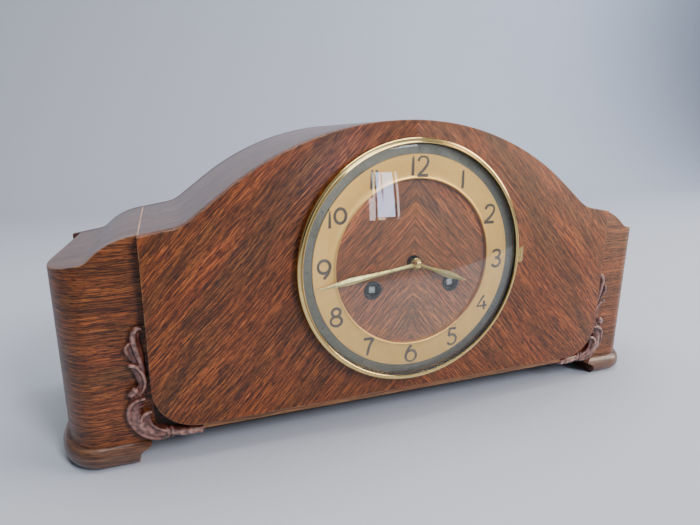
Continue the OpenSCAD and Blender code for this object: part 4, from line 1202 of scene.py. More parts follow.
@dataclass
class Scroll:
    """The carved leaf scroll in the corner between a wing and the panel.

    Each strand is a tapered ridge through points of distance out from the seam, height over the panel's
    lower edge, lift of the ridge's middle off the wing, and radius, all in millimetres.
    """

    side: int
    grain: float = 0.34 * MM
    fullness: float = 1.16
    # lift at which the crests' greyish pink begins, and the span over which it grows: partly rubbed wear,
    # partly painted highlight
    rubbed_from: float = 4.6 * MM
    rubbed_over: float = 2.0 * MM
    strands: tuple = (
        # upper leaf with its hook
        (
            (3.4, 71.8, 4.6, 1.2), (6.2, 71.6, 4.8, 1.7), (8.2, 67.5, 4.4, 1.9), (8.0, 61.5, 3.8, 2.1),
            (6.9, 55, 3.4, 2.0),
        ),
        ((6.9, 55, 3.4, 2.0), (5.4, 49, 3.6, 1.7), (4.0, 43.5, 3.8, 1.2), (3.5, 40.5, 3.6, 0.8)),
        ((5.6, 68.5, 3.2, 1.3), (6.3, 63.5, 2.6, 1.5), (5.2, 57, 2.4, 1.6), (4.2, 50, 2.4, 1.4)),
        # side leaf
        (
            (11.6, 62.2, 5.2, 1.0), (12.9, 60.4, 4.6, 1.2), (12.9, 57, 3.8, 1.3), (11.2, 52.4, 3.2, 1.2),
            (8.2, 48.6, 3.0, 1.1),
        ),
        ((10.4, 60.2, 3.0, 1.2), (10.6, 56.5, 2.2, 1.6), (9.0, 52.2, 2.0, 1.5), (6.8, 49.2, 2.4, 1.4)),
        # lower leaf
        (
            (11.6, 47.9, 5.2, 1.4), (9.0, 47.0, 4.8, 1.4), (6.2, 43.8, 4.6, 1.3), (4.0, 38.6, 4.6, 1.3),
            (3.9, 32.8, 4.4, 1.3), (6.2, 27.4, 4.0, 0.9),
        ),
        (
            (10.2, 45.6, 3.0, 1.4), (8.2, 41.4, 2.6, 1.8), (6.6, 36.4, 2.6, 2.0), (6.4, 31.6, 2.8, 1.5),
            (6.8, 28.4, 3.0, 0.9),
        ),
        # bud over the corner
        ((10.4, 29.6, 4.2, 2.6), (12.6, 27.8, 3.8, 2.4)),
        ((13.8, 26.8, 2.8, 1.7), (11.4, 25.0, 2.4, 1.6)),
        ((8.2, 31.0, 3.6, 1.4), (8.6, 27.6, 3.4, 1.5), (7.4, 25.6, 3.2, 1.3)),
        # big leaf round the corner: outer rim and two flutes
        (
            (5.2, 23.4, 5.0, 1.0), (10.6, 22.2, 4.8, 1.3), (14.4, 18.7, 4.4, 1.4),
            (15.6, 13.4, 4.0, 1.4), (14.8, 7.4, 3.8, 1.4), (11.6, 1.4, 3.8, 1.4), (6.2, -4.4, 3.8, 1.4),
            (0.0, -7.4, 3.8, 1.3), (-5.6, -7.6, 3.8, 1.2),
        ),
        (
            (6.2, 20.6, 3.4, 0.9), (10.2, 19.0, 3.2, 1.2), (12.7, 14.2, 3.0, 1.4), (12.4, 8.0, 2.9, 1.5),
            (9.9, 2.6, 2.9, 1.5), (5.4, -2.6, 3.0, 1.4), (0.2, -5.6, 3.2, 1.2),
        ),
        (
            (6.4, 17.6, 2.8, 0.9), (9.0, 16.2, 2.6, 1.2), (10.6, 11.6, 2.4, 1.4), (10.4, 6.4, 2.4, 1.4),
            (8.2, 0.8, 2.6, 1.4),
        ),
        # inner curl
        (
            (1.9, 13.3, 5.0, 1.2), (5.6, 12.4, 5.0, 1.3), (8.0, 9.0, 4.8, 1.2), (8.3, 4.2, 4.4, 1.2),
            (5.8, -0.8, 4.2, 1.2), (0.8, -4.0, 4.2, 1.2), (-5.0, -5.4, 4.2, 1.1),
        ),
        (
            (3.6, 10.4, 3.2, 1.2), (3.2, 6.4, 3.6, 1.0), (1.8, 3.0, 4.2, 1.0), (-1.2, 0.2, 4.6, 1.0),
            (-5.6, -2.0, 4.8, 1.1),
        ),
        (
            (5.4, 9.4, 2.6, 1.7), (5.6, 5.0, 2.2, 2.0), (3.2, 0.8, 2.2, 2.0), (-1.0, -2.0, 2.6, 1.9),
            (-5.4, -3.8, 3.2, 1.6),
        ),
        # beads
        ((10.2, 6.9, 4.6, 1.0), (10.4, 6.5, 4.6, 1.0)),
        ((11.6, 2.4, 4.6, 0.8), (11.4, 2.0, 4.6, 0.8)),
        # collar
        ((-6.9, -1.2, 4.0, 1.0), (-7.7, -4.2, 4.8, 1.3), (-7.2, -7.6, 4.0, 1.0)),
        ((-9.8, -1.0, 3.8, 1.0), (-10.5, -4.4, 4.6, 1.3), (-10.1, -7.8, 3.8, 1.0)),
        # tail with three lumps
        ((-11.4, -4.6, 3.0, 2.6), (-17, -5.4, 3.2, 2.7), (-24, -5.8, 3.2, 2.7), (-29, -6.2, 3.0, 2.4)),
        ((-13.4, -4.6, 4.6, 1.0), (-16.6, -6.6, 5.0, 1.2), (-18.6, -7.8, 4.4, 0.9)),
        ((-19.6, -5.2, 4.6, 1.0), (-22.6, -7.0, 5.0, 1.2), (-24.4, -8.2, 4.4, 0.9)),
        ((-26.2, -6.2, 4.6, 1.1), (-28.8, -7.6, 4.8, 1.2)),
        # ground that joins the strands
        (
            (8.0, 69, 0.2, 2.0), (7.6, 60, 0.2, 3.2), (6.4, 50, 0.2, 2.8), (4.8, 40, 0.2, 2.4),
            (6.6, 30, 0.2, 2.6), (9.6, 24, 0.2, 3.4), (11.6, 15, 0.2, 4.4), (9.6, 5, 0.2, 5.2),
            (3.0, -2, 0.2, 4.6), (-6, -4.8, 0.2, 3.2), (-28, -7.2, 0.2, 2.4),
        ),
    )

    def place(self, out: float, rise: float, lift: float) -> Vector:
        """A strand's point in the clock, on the right."""
        seam, bottom = high("top_skin").x, low("front_panel").z
        return Vector((seam + out * MM, WING_FRONT - lift * MM, bottom + rise * MM))

    def build(self) -> None:
        """Joins the strands into one carved skin and marks how high each place stands and how squarely it
        faces front, which lightens the crests as wear and as painted highlight.
        """
        bm = bmesh.new()
        for line in self.strands:
            brush = Brush(1 * MM, 4)
            run = [(self.place(*point[:3]), point[3] * self.fullness) for point in line]
            brush.stroke(run, True, False)
            brush.lift(bm)
            for place, swell in (run[0], run[-1]):
                at = Matrix.Translation(place)
                bmesh.ops.create_icosphere(bm, subdivisions=3, radius=swell * MM, matrix=at)

        def skin(bench: bpy.types.Object) -> None:
            """Adds the common skin and smooths its steps."""
            common = bench.modifiers.new("skin", "REMESH")
            common.mode, common.voxel_size = "VOXEL", self.grain
            soft = bench.modifiers.new("soft", "SMOOTH")
            soft.factor, soft.iterations = 0.5, 3

        bm = from_modifiers(bm, skin)
        wing = (0, WING_FRONT, 0)
        bmesh.ops.bisect_plane(
            bm, geom=whole(bm), dist=HAIR / 4, plane_co=wing, plane_no=DEPTH, clear_outer=True
        )
        bmesh.ops.holes_fill(bm, edges=[e for e in bm.edges if len(e.link_faces) == 1])
        # high crests facing front get the lighter colour: partly rubbed wear, partly painted highlight
        ridge = bm.verts.layers.float.new("ridge")
        for vert in bm.verts:
            lift = WING_FRONT - vert.co.y
            steep = max(0.0, -vert.normal.y)
            vert[ridge] = min(1.0, max(0.0, (lift - self.rubbed_from) / self.rubbed_over)) * steep**3
        to_side(bm, self.side)
        name = "ornament_right" if self.side > 0 else "ornament_left"
        publish(bm, name + "_carved", CARVING, "case", [name], sharp=80.0)


@dataclass
class BackBoards:
    """The back board with its opening, and the door that fills it."""

    line: CaseLine
    corner: float = 12 * MM
    door_gap: float = 1.0 * MM
    edge_round: float = 1.0 * MM
    station: float = 1.5 * MM
    screw_hole: float = 1.5 * MM

    def opening(self, bm: bmesh.types.BMesh, face: float, gap: float) -> None:
        """Draws the opening's outline, a gap smaller for the door.

        Args:
            bm: The mesh to draw in.
            face: The outline's Y.
            gap: How far inside the opening the outline runs.
        """
        lo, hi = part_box("back_door")
        room = self.door_gap - gap
        left, right, bottom, top = lo.x - room, hi.x + room, lo.z - room, hi.z + room
        r = self.corner - gap
        pen = Pen(bm, Plane.FACE, face, (left, bottom + r))
        pen.line((left, top - r)).arc((left + r, top - r), -90, 12)
        pen.line((right - r, top)).arc((right - r, top - r), -90, 12)
        pen.line((right, bottom + r)).arc((right - r, bottom + r), -90, 12)
        pen.line((left + r, bottom)).arc((left + r, bottom + r), -90, 12).close()

    def follow(self, pen: Pen, start: float, end: float) -> None:
        """Draws the top line over a wing in short runs, between a start and an end."""
        x = start + self.station
        while x < end:
            pen.line((x, self.line.height(x)))
            x += self.station

    def build(self) -> None:
        """Builds the board and the door."""
        bm = bmesh.new()
        lo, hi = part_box("back_board")
        pen = Pen(bm, Plane.FACE, hi.y, (-hi.x, lo.z))
        pen.line((-hi.x, self.line.height(hi.x)))
        self.follow(pen, -hi.x, -self.line.seam)
        self.line.draw_middle(pen, self.line.seam)
        self.follow(pen, self.line.seam, hi.x)
        pen.line((hi.x, self.line.height(hi.x)), (hi.x, lo.z)).close()
        self.opening(bm, hi.y, 0.0)
        screw = centre("button_screw")
        hole(bm, (screw.x, hi.y, screw.z), self.screw_hole, 24)
        thicken(bm, fill(bm, DEPTH), DEPTH * (lo.y - hi.y))
        round_over(bm, lies_at(hi.y, lambda co: co.y), self.edge_round)
        publish(bm, "back_board_edged", BACK_OAK, "case", ["back_board"])

        door = bmesh.new()
        lo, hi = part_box("back_door")
        self.opening(door, hi.y, self.door_gap)
        thicken(door, fill(door, DEPTH), DEPTH * (lo.y - hi.y))
        round_over(door, lies_at(hi.y, lambda co: co.y), self.edge_round)
        publish(door, "back_door_edged", BACK_OAK, "back_door_leaf", ["back_door"])


# ---------------------------------------------------------------- dial, bezel and hands


@dataclass
class Dial:
    """The gold chapter ring, the silvered minute track, the eyelets and what is printed on them."""

    inner: float = 61.3 * MM
    ring: float = 78.7 * MM
    proud: float = 3.0 * MM
    sheet: float = 0.8 * MM
    numeral_r: float = 70.2 * MM
    figure_size: Point = (1.1, 1.15)
    figure_h: float = 13.4 * MM
    figure_gap: float = 3.6 * MM
    numeral_turn: float = 1.0
    stroke: float = 1.15 * MM
    mark_r: float = 81.9 * MM
    mark_w: Point = (0.35 * MM, 0.9 * MM)
    mark_len: float = 2.6 * MM
    print_t: float = 0.12 * MM

    def build(self) -> None:
        """Builds the rings and the print."""
        self.build_rings()
        self.build_eyelets()
        self.build_track_marks()
        for hour in range(1, 13):
            self.build_numeral(hour)

    def build_rings(self) -> None:
        """Turns the two rings."""
        bm = bmesh.new()
        d, s = self.proud, self.sheet
        pen = Pen(bm, Plane.TURN, 0, (self.inner, 0.0))
        pen.line((self.inner, d - 0.9 * MM)).arc((self.inner + 0.9 * MM, d - 0.9 * MM), -90, 8)
        pen.arc((self.inner + 0.9 * MM, d - 0.9 * MM), -40, 4)
        pen.line((self.inner + 2.4 * MM, d - 0.35 * MM), (self.inner + 6 * MM, d - 0.2 * MM))
        pen.line((self.ring - 5 * MM, d - 0.08 * MM), (self.ring - 0.2 * MM, d), (self.ring, d - 0.2 * MM))
        pen.line((self.ring, d - s), (self.inner + 2.2 * MM, d - s - 0.4 * MM))
        pen.line((self.inner + 1.4 * MM, 0.0)).close()
        turn_round(bm, 240)
        publish(bm, "gold_ring", DIAL_GOLD, "case", ["chapter_ring"])

        bm = bmesh.new()
        hi = high("minute_track").x
        top = d - s
        pen = Pen(bm, Plane.TURN, 0, (self.ring - 3 * MM, top))
        pen.line((self.ring, top), (hi - 0.5 * MM, top - 0.2 * MM))
        pen.arc((hi - 0.5 * MM, top - 0.7 * MM), -90, 5)
        pen.line((hi, 0.0), (hi - s, 0.0), (hi - s, top - 1.0 * MM), (self.ring - 3 * MM, top - s)).close()
        turn_round(bm, 240)
        publish(bm, "silver_track", DIAL_SILVER, "case", ["minute_track"])

    def build_eyelets(self) -> None:
        """Turns a rolled eyelet round each winding hole."""
        bm = bmesh.new()
        for arbor in ("going_arbor", "strike_arbor"):
            at = centre(arbor)
            ring = bmesh.new()
            pen = Pen(ring, Plane.TURN, 0, (7.0 * MM, 0.0))
            pen.arc((6.1 * MM, 0.0), 90, 8).line((5.5 * MM, 0.7 * MM)).arc((5.5 * MM, -0.2 * MM), 90, 6)
            pen.line((4.6 * MM, -5.4 * MM), (5.15 * MM, -5.4 * MM), (5.15 * MM, 0.0)).close()
            turn_round(ring, 48)
            bmesh.ops.translate(ring, verts=ring.verts[:], vec=(at.x, 0, at.z - DIAL_Z))
            add_mesh(bm, ring)
        publish(bm, "eyelets", EYELET_STEEL, "case", ["winding_eyelets"])

    def face(self, radius: float) -> float:
        """Y of the rings' front face at a distance from the middle."""
        if radius < self.ring:
            return FRONT - self.proud
        fall = 0.2 * MM * (radius - self.ring) / (high("minute_track").x - 0.5 * MM - self.ring)
        return FRONT - (self.proud - self.sheet - fall)

    def build_track_marks(self) -> None:
        """Prints sixty short strokes, a heavier one each five minutes."""
        bm = bmesh.new()
        for minute in range(60):
            wide = self.mark_w[minute % 5 == 0]
            shape = Matrix.Diagonal((wide, 2 * self.print_t, self.mark_len, 1))
            turn = Matrix.Rotation(math.radians(6 * minute), 4, "Y")
            out = Matrix.Translation((0, self.face(self.mark_r), self.mark_r))
            bmesh.ops.create_cube(bm, matrix=Matrix.Translation((0, 0, DIAL_Z)) @ turn @ out @ shape)
        publish(bm, "minute_marks", TRACK_INK, "case")

    # Each figure's width and its strokes' middle lines in millimetres over its foot, with whether a
    # stroke runs smoothly and whether it closes
    FIGURES: ClassVar[dict[str, tuple]] = {
        "0": (7.4, [([(3.7, 12.4), (7.4, 8.1), (3.7, 3.8), (0, 8.1)], True, True)]),
        "1": (0.0, [([(0, 1.0), (0, 12.4)], False, False)]),
        "2": (7.8, [
            (
                [(0.3, 9.6), (1.6, 11.8), (4.0, 12.4), (6.7, 11.4), (7.3, 8.9), (5.6, 5.8), (0.6, 1.0)],
                True,
                False,
            ),
            ([(0, 1.0), (7.8, 1.0)], False, False),
        ]),
        "3": (7.2, [
            ([(0.5, 11.2), (3.4, 12.4), (6.2, 11.5), (6.5, 9.3), (5.0, 7.5), (2.8, 7.0)], True, False),
            ([(2.8, 7.0), (5.6, 6.6), (7.2, 4.1), (6.1, 1.9), (3.3, 1.0), (0.2, 2.4)], True, False),
        ]),
        "4": (8.2, [
            ([(5.4, 11.6), (0.2, 4.2), (8.2, 4.2)], False, False),
            ([(5.9, 7.6), (5.9, 1.4)], False, False),
        ]),
        "5": (7.2, [
            ([(6.8, 12.4), (1.8, 12.4), (1.2, 7.4)], False, False),
            (
                [(1.2, 7.4), (3.6, 8.2), (6.4, 7.0), (7.2, 4.4), (6.0, 2.0), (3.2, 1.0), (0.2, 2.4)],
                True,
                False,
            ),
        ]),
        "6": (8.0, [
            ([(4.0, 8.8), (8.0, 4.9), (4.0, 1.0), (0, 4.9)], True, True),
            ([(0.1, 5.8), (1.4, 9.2), (4.2, 12.4)], True, False),
        ]),
        "7": (7.4, [
            ([(0, 12.4), (7.4, 12.4)], False, False),
            ([(7.2, 12.4), (4.8, 8.6), (3.4, 4.8), (2.6, 1.0)], True, False),
        ]),
        "8": (7.6, [
            ([(3.8, 12.4), (6.6, 9.8), (3.8, 7.2), (1.0, 9.8)], True, True),
            ([(3.8, 7.2), (7.6, 4.1), (3.8, 1.0), (0, 4.1)], True, True),
        ]),
        "9": (8.0, [
            ([(4.0, 12.4), (8.0, 8.5), (4.0, 4.6), (0, 8.5)], True, True),
            ([(7.9, 7.6), (6.6, 4.2), (3.8, 1.0)], True, False),
        ]),
    }

    def build_numeral(self, hour: int) -> None:
        """Prints one hour's figures upright on the gold ring."""
        digits = str(hour)
        gap = self.figure_gap
        wide, tall = self.figure_size
        widths = [self.FIGURES[d][0] * wide * MM for d in digits]
        total = sum(widths) + gap * (len(digits) - 1)
        angle = math.radians(30 * hour + self.numeral_turn)
        left = self.numeral_r * math.sin(angle) - total / 2
        bottom = DIAL_Z + self.numeral_r * math.cos(angle) - tall * self.figure_h / 2
        brush = Brush(self.stroke, 3)
        for digit, width in zip(digits, widths):
            for points, smooth, closed in self.FIGURES[digit][1]:
                run = [((left + x * wide * MM, 0, bottom + z * tall * MM), 1.0) for x, z in points]
                brush.stroke(run, smooth, closed)
            left += width + gap
        bm = bmesh.new()
        brush.lift(bm)
        bmesh.ops.scale(bm, verts=bm.verts[:], vec=(1, self.print_t / self.stroke, 1))
        bmesh.ops.translate(bm, verts=bm.verts[:], vec=(0, self.face(self.numeral_r) + self.print_t, 0))
        publish(bm, f"numeral_{hour:02d}", DIAL_INK, "case", sharp=60.0)


@dataclass
class Bezel:
    """The rolled brass ring and the domed glass in it; the spring ring behind the glass is not built here."""

    outer: float = field(default_factory=lambda: high("bezel_ring").x)
    proud: float = field(default_factory=lambda: FRONT - low("bezel_ring").y)
    rim: float = 3.9 * MM
    glass_t: float = 2 * MM
    rise: float = 10 * MM

    def build(self) -> None:
        """Turns the ring and the glass."""
        bm = bmesh.new()
        r, d, inner = self.outer, self.proud, self.outer - self.rim
        lip = d - 1.6 * MM
        pen = Pen(bm, Plane.TURN, 0, (r - 0.5 * MM, 0.1 * MM))
        pen.line((r - 0.12 * MM, d - 3.6 * MM)).arc((r - 2 * MM, d - 3 * MM), 106, 14)
        pen.line((inner + 1.5 * MM, d - 1.05 * MM), (inner + 0.8 * MM, d))
        pen.arc((inner + 0.8 * MM, d - 0.8 * MM), 180, 14)
        pen.line((inner + 1.2 * MM, lip), (inner + 1.2 * MM, 0.1 * MM)).close()
        turn_round(bm, 256)
        publish(bm, "rolled_bezel", BEZEL_BRASS, "bezel_door", ["bezel_ring"])

        edge = inner + 0.9 * MM
        dome = (edge**2 + self.rise**2) / (2 * self.rise)
        span = math.degrees(math.asin(edge / dome))
        apex = FRONT - low("glass").y
        bm = bmesh.new()
        pen = Pen(bm, Plane.TURN, 0, (0.0, apex))
        pen.arc((0.0, apex - dome), -span, 28)
        start = pen.tip.co.copy()
        pen.line((start.x, FRONT - start.y - self.glass_t)).arc((0.0, apex - self.glass_t - dome), span, 28)
        turn_round(bm, 160)
        publish(bm, "domed_glass", DOME_GLASS, "bezel_door", ["glass"], sharp=60.0)


@dataclass
class Hands:
    """Two lance-shaped brass hands with a ridge along the middle, and the round nut."""

    minute_angle: float = 43.5 * 6
    hour_angle: float = 110.5
    minute_len: float = 79.7 * MM
    hour_len: float = 47 * MM

    def blade(self, name: str, length: float, width: float, hub: float, bore: float) -> bmesh.types.BMesh:
        """Builds a hand that points to twelve.

        Args:
            name: The part it stands for, which gives its depth.
            length: From the middle to the tip.
            width: At its widest.
            hub: Radius of its round end.
            bore: Radius of the hole in that end.

        Returns:
            The hand's mesh.
        """
        front, back = low(name).y, high(name).y
        half = bmesh.new()
        rows = [
            (bore * 0.9, 1.3 * MM, 0.25 * MM),
            (length * 0.3, 1.2 * MM, 0.45 * MM),
            (length * 0.66, width / 2, 0.75 * MM),
            (length, 0.18 * MM, 0.05 * MM),
        ]
        rails = []
        for at, reach, rise in rows:
            ridge = half.verts.new((0, front + 0.25 * MM - rise, DIAL_Z + at))
            side = half.verts.new((reach, front + 0.25 * MM, DIAL_Z + at))
            rails.append((ridge, side))
        for (r0, s0), (r1, s1) in zip(rails, rails[1:]):
            half.faces.new((r0, s0, s1, r1))
        bmesh.ops.subdivide_edges(half, edges=half.edges[:], cuts=3, use_grid_fill=True, smooth=0.0)
        bmesh.ops.mirror(half, geom=whole(half), axis="X", merge_dist=HAIR / 4)
        bmesh.ops.recalc_face_normals(half, faces=half.faces[:])
        if half.faces[:][0].normal.y > 0:
            bmesh.ops.reverse_faces(half, faces=half.faces[:])
        drawn = bmesh.ops.extrude_face_region(half, geom=half.faces[:])
        for vert in drawn_verts(drawn):
            vert.co.y = back
        bmesh.ops.recalc_face_normals(half, faces=half.faces[:])
        ring = bmesh.new()
        d0, d1 = FRONT - back, FRONT - front
        pen = Pen(ring, Plane.TURN, 0, (bore, d0))
        pen.line((hub, d0), (hub, d1 - 0.3 * MM)).arc((hub - 0.3 * MM, d1 - 0.3 * MM), 90, 5)
        pen.line((bore + 0.3 * MM, d1)).arc((bore + 0.3 * MM, d1 - 0.3 * MM), 90, 5).close()
        turn_round(ring, 64)
        add_mesh(half, ring)
        return half

    def build(self) -> None:
        """Builds both hands and the nut."""
        minute = ("minute_hand", "minute_group", HAND_BRASS, self.minute_angle, self.minute_len)
        # the hour hand's brass is darker: partly tarnish, partly painted shade
        hour = ("hour_hand", "hour_group", HOUR_BRASS, self.hour_angle, self.hour_len)
        for (name, body, finish, angle, length), width, hub, bore in (
            (minute, 5.0 * MM, 3.4 * MM, 2.0 * MM), (hour, 5.6 * MM, 4.4 * MM, 2.9 * MM)
        ):
            bm = self.blade(name, length, width, hub, bore)
            turn = Matrix.Rotation(math.radians(angle), 3, "Y")
            bmesh.ops.rotate(bm, verts=bm.verts[:], cent=(0, 0, DIAL_Z), matrix=turn)
            publish(bm, name + "_ridged", finish, body, [name], sharp=20.0)
        bm = bmesh.new()
        lo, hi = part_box("hand_nut")
        d0, d1 = FRONT - hi.y, FRONT - lo.y
        radius, bore = hi.x, 1.04 * MM
        pen = Pen(bm, Plane.TURN, 0, (bore, d0))
        ball = d1 - d0 - 0.5 * MM
        pen.line((radius, d0), (radius, d0 + 0.5 * MM)).arc((radius - ball, d0 + 0.5 * MM), 80, 10)
        pen.line((bore + 0.15 * MM, d1), (bore, d1 - 0.15 * MM)).close()
        turn_round(bm, 48)
        publish(bm, "round_nut", BEZEL_BRASS, "minute_group", ["hand_nut"], sharp=50.0)


# ---------------------------------------------------------------- fittings and movement


@dataclass
class Fittings:
    """Small round-headed screws that hold the back door's hinges."""

    head: float = 1.7 * MM
    slot_w: float = 0.45 * MM

    def screw(self, name: str, at: Vector, body: str) -> None:
        """Makes one slotted screw head on a surface that faces back.

        Args:
            name: The piece's name.
            at: The middle of its seat.
            body: The body it moves with.
        """
        bm = bmesh.new()
        bmesh.ops.create_uvsphere(bm, u_segments=24, v_segments=12, radius=self.head)
        bmesh.ops.scale(bm, verts=bm.verts[:], vec=(1, 1, 0.45))
        facing_back = Matrix.Rotation(-math.pi / 2, 3, "X")
        bmesh.ops.rotate(bm, verts=bm.verts[:], cent=(0, 0, 0), matrix=facing_back)
        seat = (0, 0, 0)
        bmesh.ops.bisect_plane(bm, geom=whole(bm), plane_co=seat, plane_no=-DEPTH, clear_outer=True)
        bmesh.ops.holes_fill(bm, edges=[e for e in bm.edges if len(e.link_faces) == 1])
        tool = bmesh.new()
        lean = Matrix.Rotation(math.radians(35), 4, "Y")
        size = Matrix.Diagonal((self.slot_w, self.head, 3 * self.head, 1))
        bmesh.ops.create_cube(tool, matrix=lean @ Matrix.Translation((0, self.head * 0.7, 0)) @ size)
        bm = carve(bm, tool)
        bmesh.ops.translate(bm, verts=bm.verts[:], vec=at)
        publish(bm, name, HINGE_BRASS, body, sharp=40.0)

    def build(self) -> None:
        """Sets two screws in the case's leaf and one in the door's leaf of each of the back door's hinges."""
        leaf_lo, leaf_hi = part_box("door_hinge_leaves")
        knuckle_hi = high("door_hinge_knuckles")
        face = high("back_board").y + 0.8 * MM
        half = 12 * MM
        for name, z in (("low", leaf_lo.z + half), ("high", leaf_hi.z - half)):
            for place, rise in (("a", 7.5 * MM), ("b", -7.5 * MM)):
                at = Vector((leaf_lo.x + 4 * MM, face, z + rise))
                self.screw(f"hinge_screw_{name}_{place}", at, "case")
            at = Vector((knuckle_hi.x - 4 * MM, face, z))
            self.screw(f"hinge_screw_{name}_door", at, "back_door_leaf")


SLOT_FINISH: dict[str, Finish] = {
    "panel_veneer": PANEL_VENEER,
    "wing_veneer": WING_VENEER,
    "top_veneer": TOP_VENEER,
    "case_wood": CASE_OAK,
    "lip_wood": LIP_OAK,
    "back_wood": BACK_OAK,
    "foot_wood": FOOT_OAK,
    "carved_wood": CARVING,
    "raw_wood": RAW_PINE,
    "hinge_brass": HINGE_BRASS,
    "bezel_brass": BEZEL_BRASS,
    "hand_brass": HAND_BRASS,
    "wheel_brass": WHEEL_BRASS,
    "dial_gold": DIAL_GOLD,
    "dial_silver": DIAL_SILVER,
    "dark_metal": BLACKING_AND_EDGE_SHADE,
    "steel": CLOCK_STEEL,
    "clear_glass": DOME_GLASS,
    "gong_iron": STOVE_PAINT,
}


class CarriedParts:
    """The parts that keep their own meshes: boards inside, hinges and the whole movement."""

    def build(self) -> None:
        """Gives each part still shown the finish of its material slot."""
        for part in frame["record"]["subparts"]:
            node = frame["nodes"][part["node"]]
            if node.hide_render:
                continue
            finish = SLOT_FINISH[part["material_slot"]]
            node.data.materials.clear()
            node.data.materials.append(finish.material())
            LOG.info("%s: kept, %s", node.name, finish.name)


# ---------------------------------------------------------------- studio


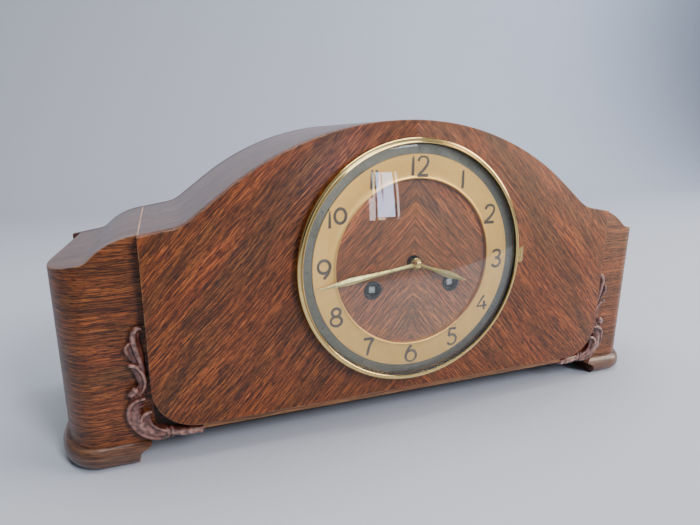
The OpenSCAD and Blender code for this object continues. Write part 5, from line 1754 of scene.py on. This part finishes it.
@dataclass
class Studio:
    """The camera, the paper sweep and the lamps."""

    eye: Vector = field(default_factory=lambda: Vector((-170.7 * MM, FRONT - 318.7 * MM, 213.2 * MM)))
    yaw: float = 0.362
    pitch: float = 0.240
    roll: float = 0.006
    lens: float = 25.69

    def build(self) -> None:
        """Sets up everything round the clock."""
        self.build_camera()
        self.build_paper()
        self.build_lamps()
        self.build_cards()

    def build_camera(self) -> None:
        """Puts the camera a little left of the clock and above it, turned right and down."""
        level = math.cos(self.pitch)
        ahead = Vector((math.sin(self.yaw) * level, math.cos(self.yaw) * level, -math.sin(self.pitch)))
        right = Vector((math.cos(self.yaw), -math.sin(self.yaw), 0))
        up = right.cross(ahead)
        c, s = math.cos(self.roll), math.sin(self.roll)
        right, up = c * right + s * up, -s * right + c * up
        data = bpy.data.cameras.new("view")
        data.lens, data.sensor_width = self.lens, 36.0
        data.clip_start, data.clip_end = 0.01, 30
        camera = link("view", data)
        turn = Matrix((right, up, -ahead)).transposed().to_4x4()
        camera.matrix_world = Matrix.Translation(self.eye) @ turn
        bpy.context.scene.camera = camera

    def build_paper(self) -> None:
        """Rolls the paper from the floor up behind the clock in one bend."""
        bm = bmesh.new()
        start = bm.verts.new((0, -12.0, 0))
        tip = bmesh.ops.extrude_vert_indiv(bm, verts=[start])["verts"][0]
        tip.co = (0, 1.2, 0)
        middle, turn = (0, 1.2, 1.0), math.pi / 2
        spun = bmesh.ops.spin(
            bm, geom=[tip], cent=middle, axis=(1, 0, 0), angle=turn, steps=24, use_duplicate=False
        )
        tip = drawn_verts(spun, "geom_last")[0]
        top = bmesh.ops.extrude_vert_indiv(bm, verts=[tip])["verts"][0]
        top.co = tip.co + UP * 3
        pull(bm, (12, 0, 0))
        bmesh.ops.translate(bm, verts=bm.verts[:], vec=(-6, 0, 0))
        bmesh.ops.recalc_face_normals(bm, faces=bm.faces[:])
        mesh = bpy.data.meshes.new("paper_sweep")
        bm.to_mesh(mesh)
        bm.free()
        mesh.polygons.foreach_set("use_smooth", [True] * len(mesh.polygons))
        mesh.materials.append(StudioPaper("studio paper").material())
        paper = link("paper_sweep", mesh)

    def lamp(self, name: str, at: Vector, aim: Vector, size: Point, power: float, colour: str) -> None:
        """Hangs one soft lamp; the window's own card is what the glass mirrors.

        Args:
            name: The lamp's name.
            at: Its place.
            aim: The place it faces.
            size: Its width and height.
            power: In watts.
            colour: Its hex colour.
        """
        data = bpy.data.lights.new(name, "AREA")
        data.shape, data.size, data.size_y = "RECTANGLE", size[0], size[1]
        data.energy = power
        data.color = linear(colour)[:3]
        light = link(name, data)
        light.location = at
        light.rotation_mode = "QUATERNION"
        light.rotation_quaternion = (aim - at).to_track_quat("-Z", "Y")
        light.visible_glossy = name != "window"

    def build_lamps(self) -> None:
        """A window to the front right, soft lamps at the right and above, and pale light all round."""
        world = bpy.data.worlds.new("studio")
        bpy.context.scene.world = world
        world.use_nodes = True
        backdrop = world.node_tree.nodes["Background"]
        backdrop.inputs["Color"].default_value = linear("d6dbe2")
        backdrop.inputs["Strength"].default_value = 0.34
        middle = Vector((0, 0, 0.1))
        self.lamp("window", Vector((0.75, -1.85, 1.5)), middle, (0.5, 1.0), 60, "fbf6ff")
        self.lamp("right_soft", Vector((2.0, -0.7, 1.1)), middle, (1.2, 1.4), 66, "ffecd8")
        self.lamp("overhead", Vector((0.0, 0.2, 1.9)), middle, (1.8, 1.2), 48, "fffaf6")
        self.lamp("wall_wash", Vector((2.2, 0.6, 1.6)), Vector((1.5, 2.2, 1.1)), (0.8, 0.8), 50, "e4ecff")

    def card(self, name: str, across: Point, rise: Point, reach: float, finish: Finish) -> None:
        """Stands a card in front of the dial that is seen only where something mirrors it.

        Args:
            name: The card's name.
            across: Bearings of its left and right edges from the dial, in degrees to the right.
            rise: Heights of its lower and upper edges from the dial, in degrees.
            reach: Its distance.
            finish: What it shows.
        """
        left, right = (reach * math.tan(math.radians(a)) for a in across)
        bottom, top = (reach * math.tan(math.radians(a)) for a in rise)
        at = Matrix.Translation(((left + right) / 2, FRONT - reach, DIAL_Z + (bottom + top) / 2))
        upright = Matrix.Rotation(math.pi / 2, 4, "X")
        size = Matrix.Diagonal((right - left, top - bottom, 1, 1))
        bm = bmesh.new()
        bmesh.ops.create_grid(bm, x_segments=1, y_segments=1, size=0.5, matrix=at @ upright @ size)
        mesh = bpy.data.meshes.new(name)
        bm.to_mesh(mesh)
        bm.free()
        mesh.materials.append(finish.material())
        sheet = link(name, mesh)
        sheet.visible_camera = sheet.visible_diffuse = sheet.visible_shadow = False

    def build_cards(self) -> None:
        """Stands up what the glass mirrors: a window, a dark room left of it and a pale wall behind."""
        sky = Glow("sky in the window", "c6d6ff", 15.0)
        bar = Glow("window bar", "77747e", 0.8)
        trim = Glow("window trim", "f4e8ea", 8.0)
        warm = Glow("warm lower pane", "ffe6cf", 8.0)
        glimmer = Glow("faint strip", "e6dff0", 2.6)
        room = Glow("dark room", "14110f", 1.0)
        haze = Glow("pale far wall", "dfe3f2", 0.6)
        near, far = 1.9, 2.0
        self.card("window_trim", (11.0, 19.9), (2.4, 17.8), far, trim)
        self.card("window_bars", (11.6, 19.2), (2.4, 17.8), near + 0.08, bar)
        self.card("window_sky", (12.3, 18.3), (3.0, 17.6), near + 0.06, sky)
        self.card("window_mullion", (14.1, 14.5), (9.0, 17.6), near + 0.04, bar)
        self.card("window_side", (9.4, 11.2), (0.6, 9.5), near + 0.02, trim)
        self.card("window_low", (12.4, 14.8), (-0.2, 3.2), near, warm)
        self.card("window_strip", (18.9, 19.8), (-21.0, 3.0), near, glimmer)
        self.card("dark_room", (-62.0, -14.0), (-30.0, 40.0), near + 0.3, room)
        self.card("far_wall", (-60.0, 66.0), (-3.0, 62.0), near + 0.5, haze)
        self.card("far_floor", (-14.0, 66.0), (-19.0, 7.0), 0.34, haze)


def main() -> None:
    """Builds the clock, one sub-assembly after another, and the studio round it."""
    line = CaseLine()
    sub_assemblies = [
        FrontPanel(line),
        BentTop(line),
        Wing(line, 1),
        Wing(line, -1),
        Scroll(1),
        Scroll(-1),
        BackBoards(line),
        Dial(),
        Bezel(),
        Hands(),
        Fittings(),
        CarriedParts(),
        Studio(),
    ]
    for assembly in sub_assemblies:
        LOG.info("building %s", type(assembly).__name__)
        assembly.build()


if __name__ == "__main__":
    main()
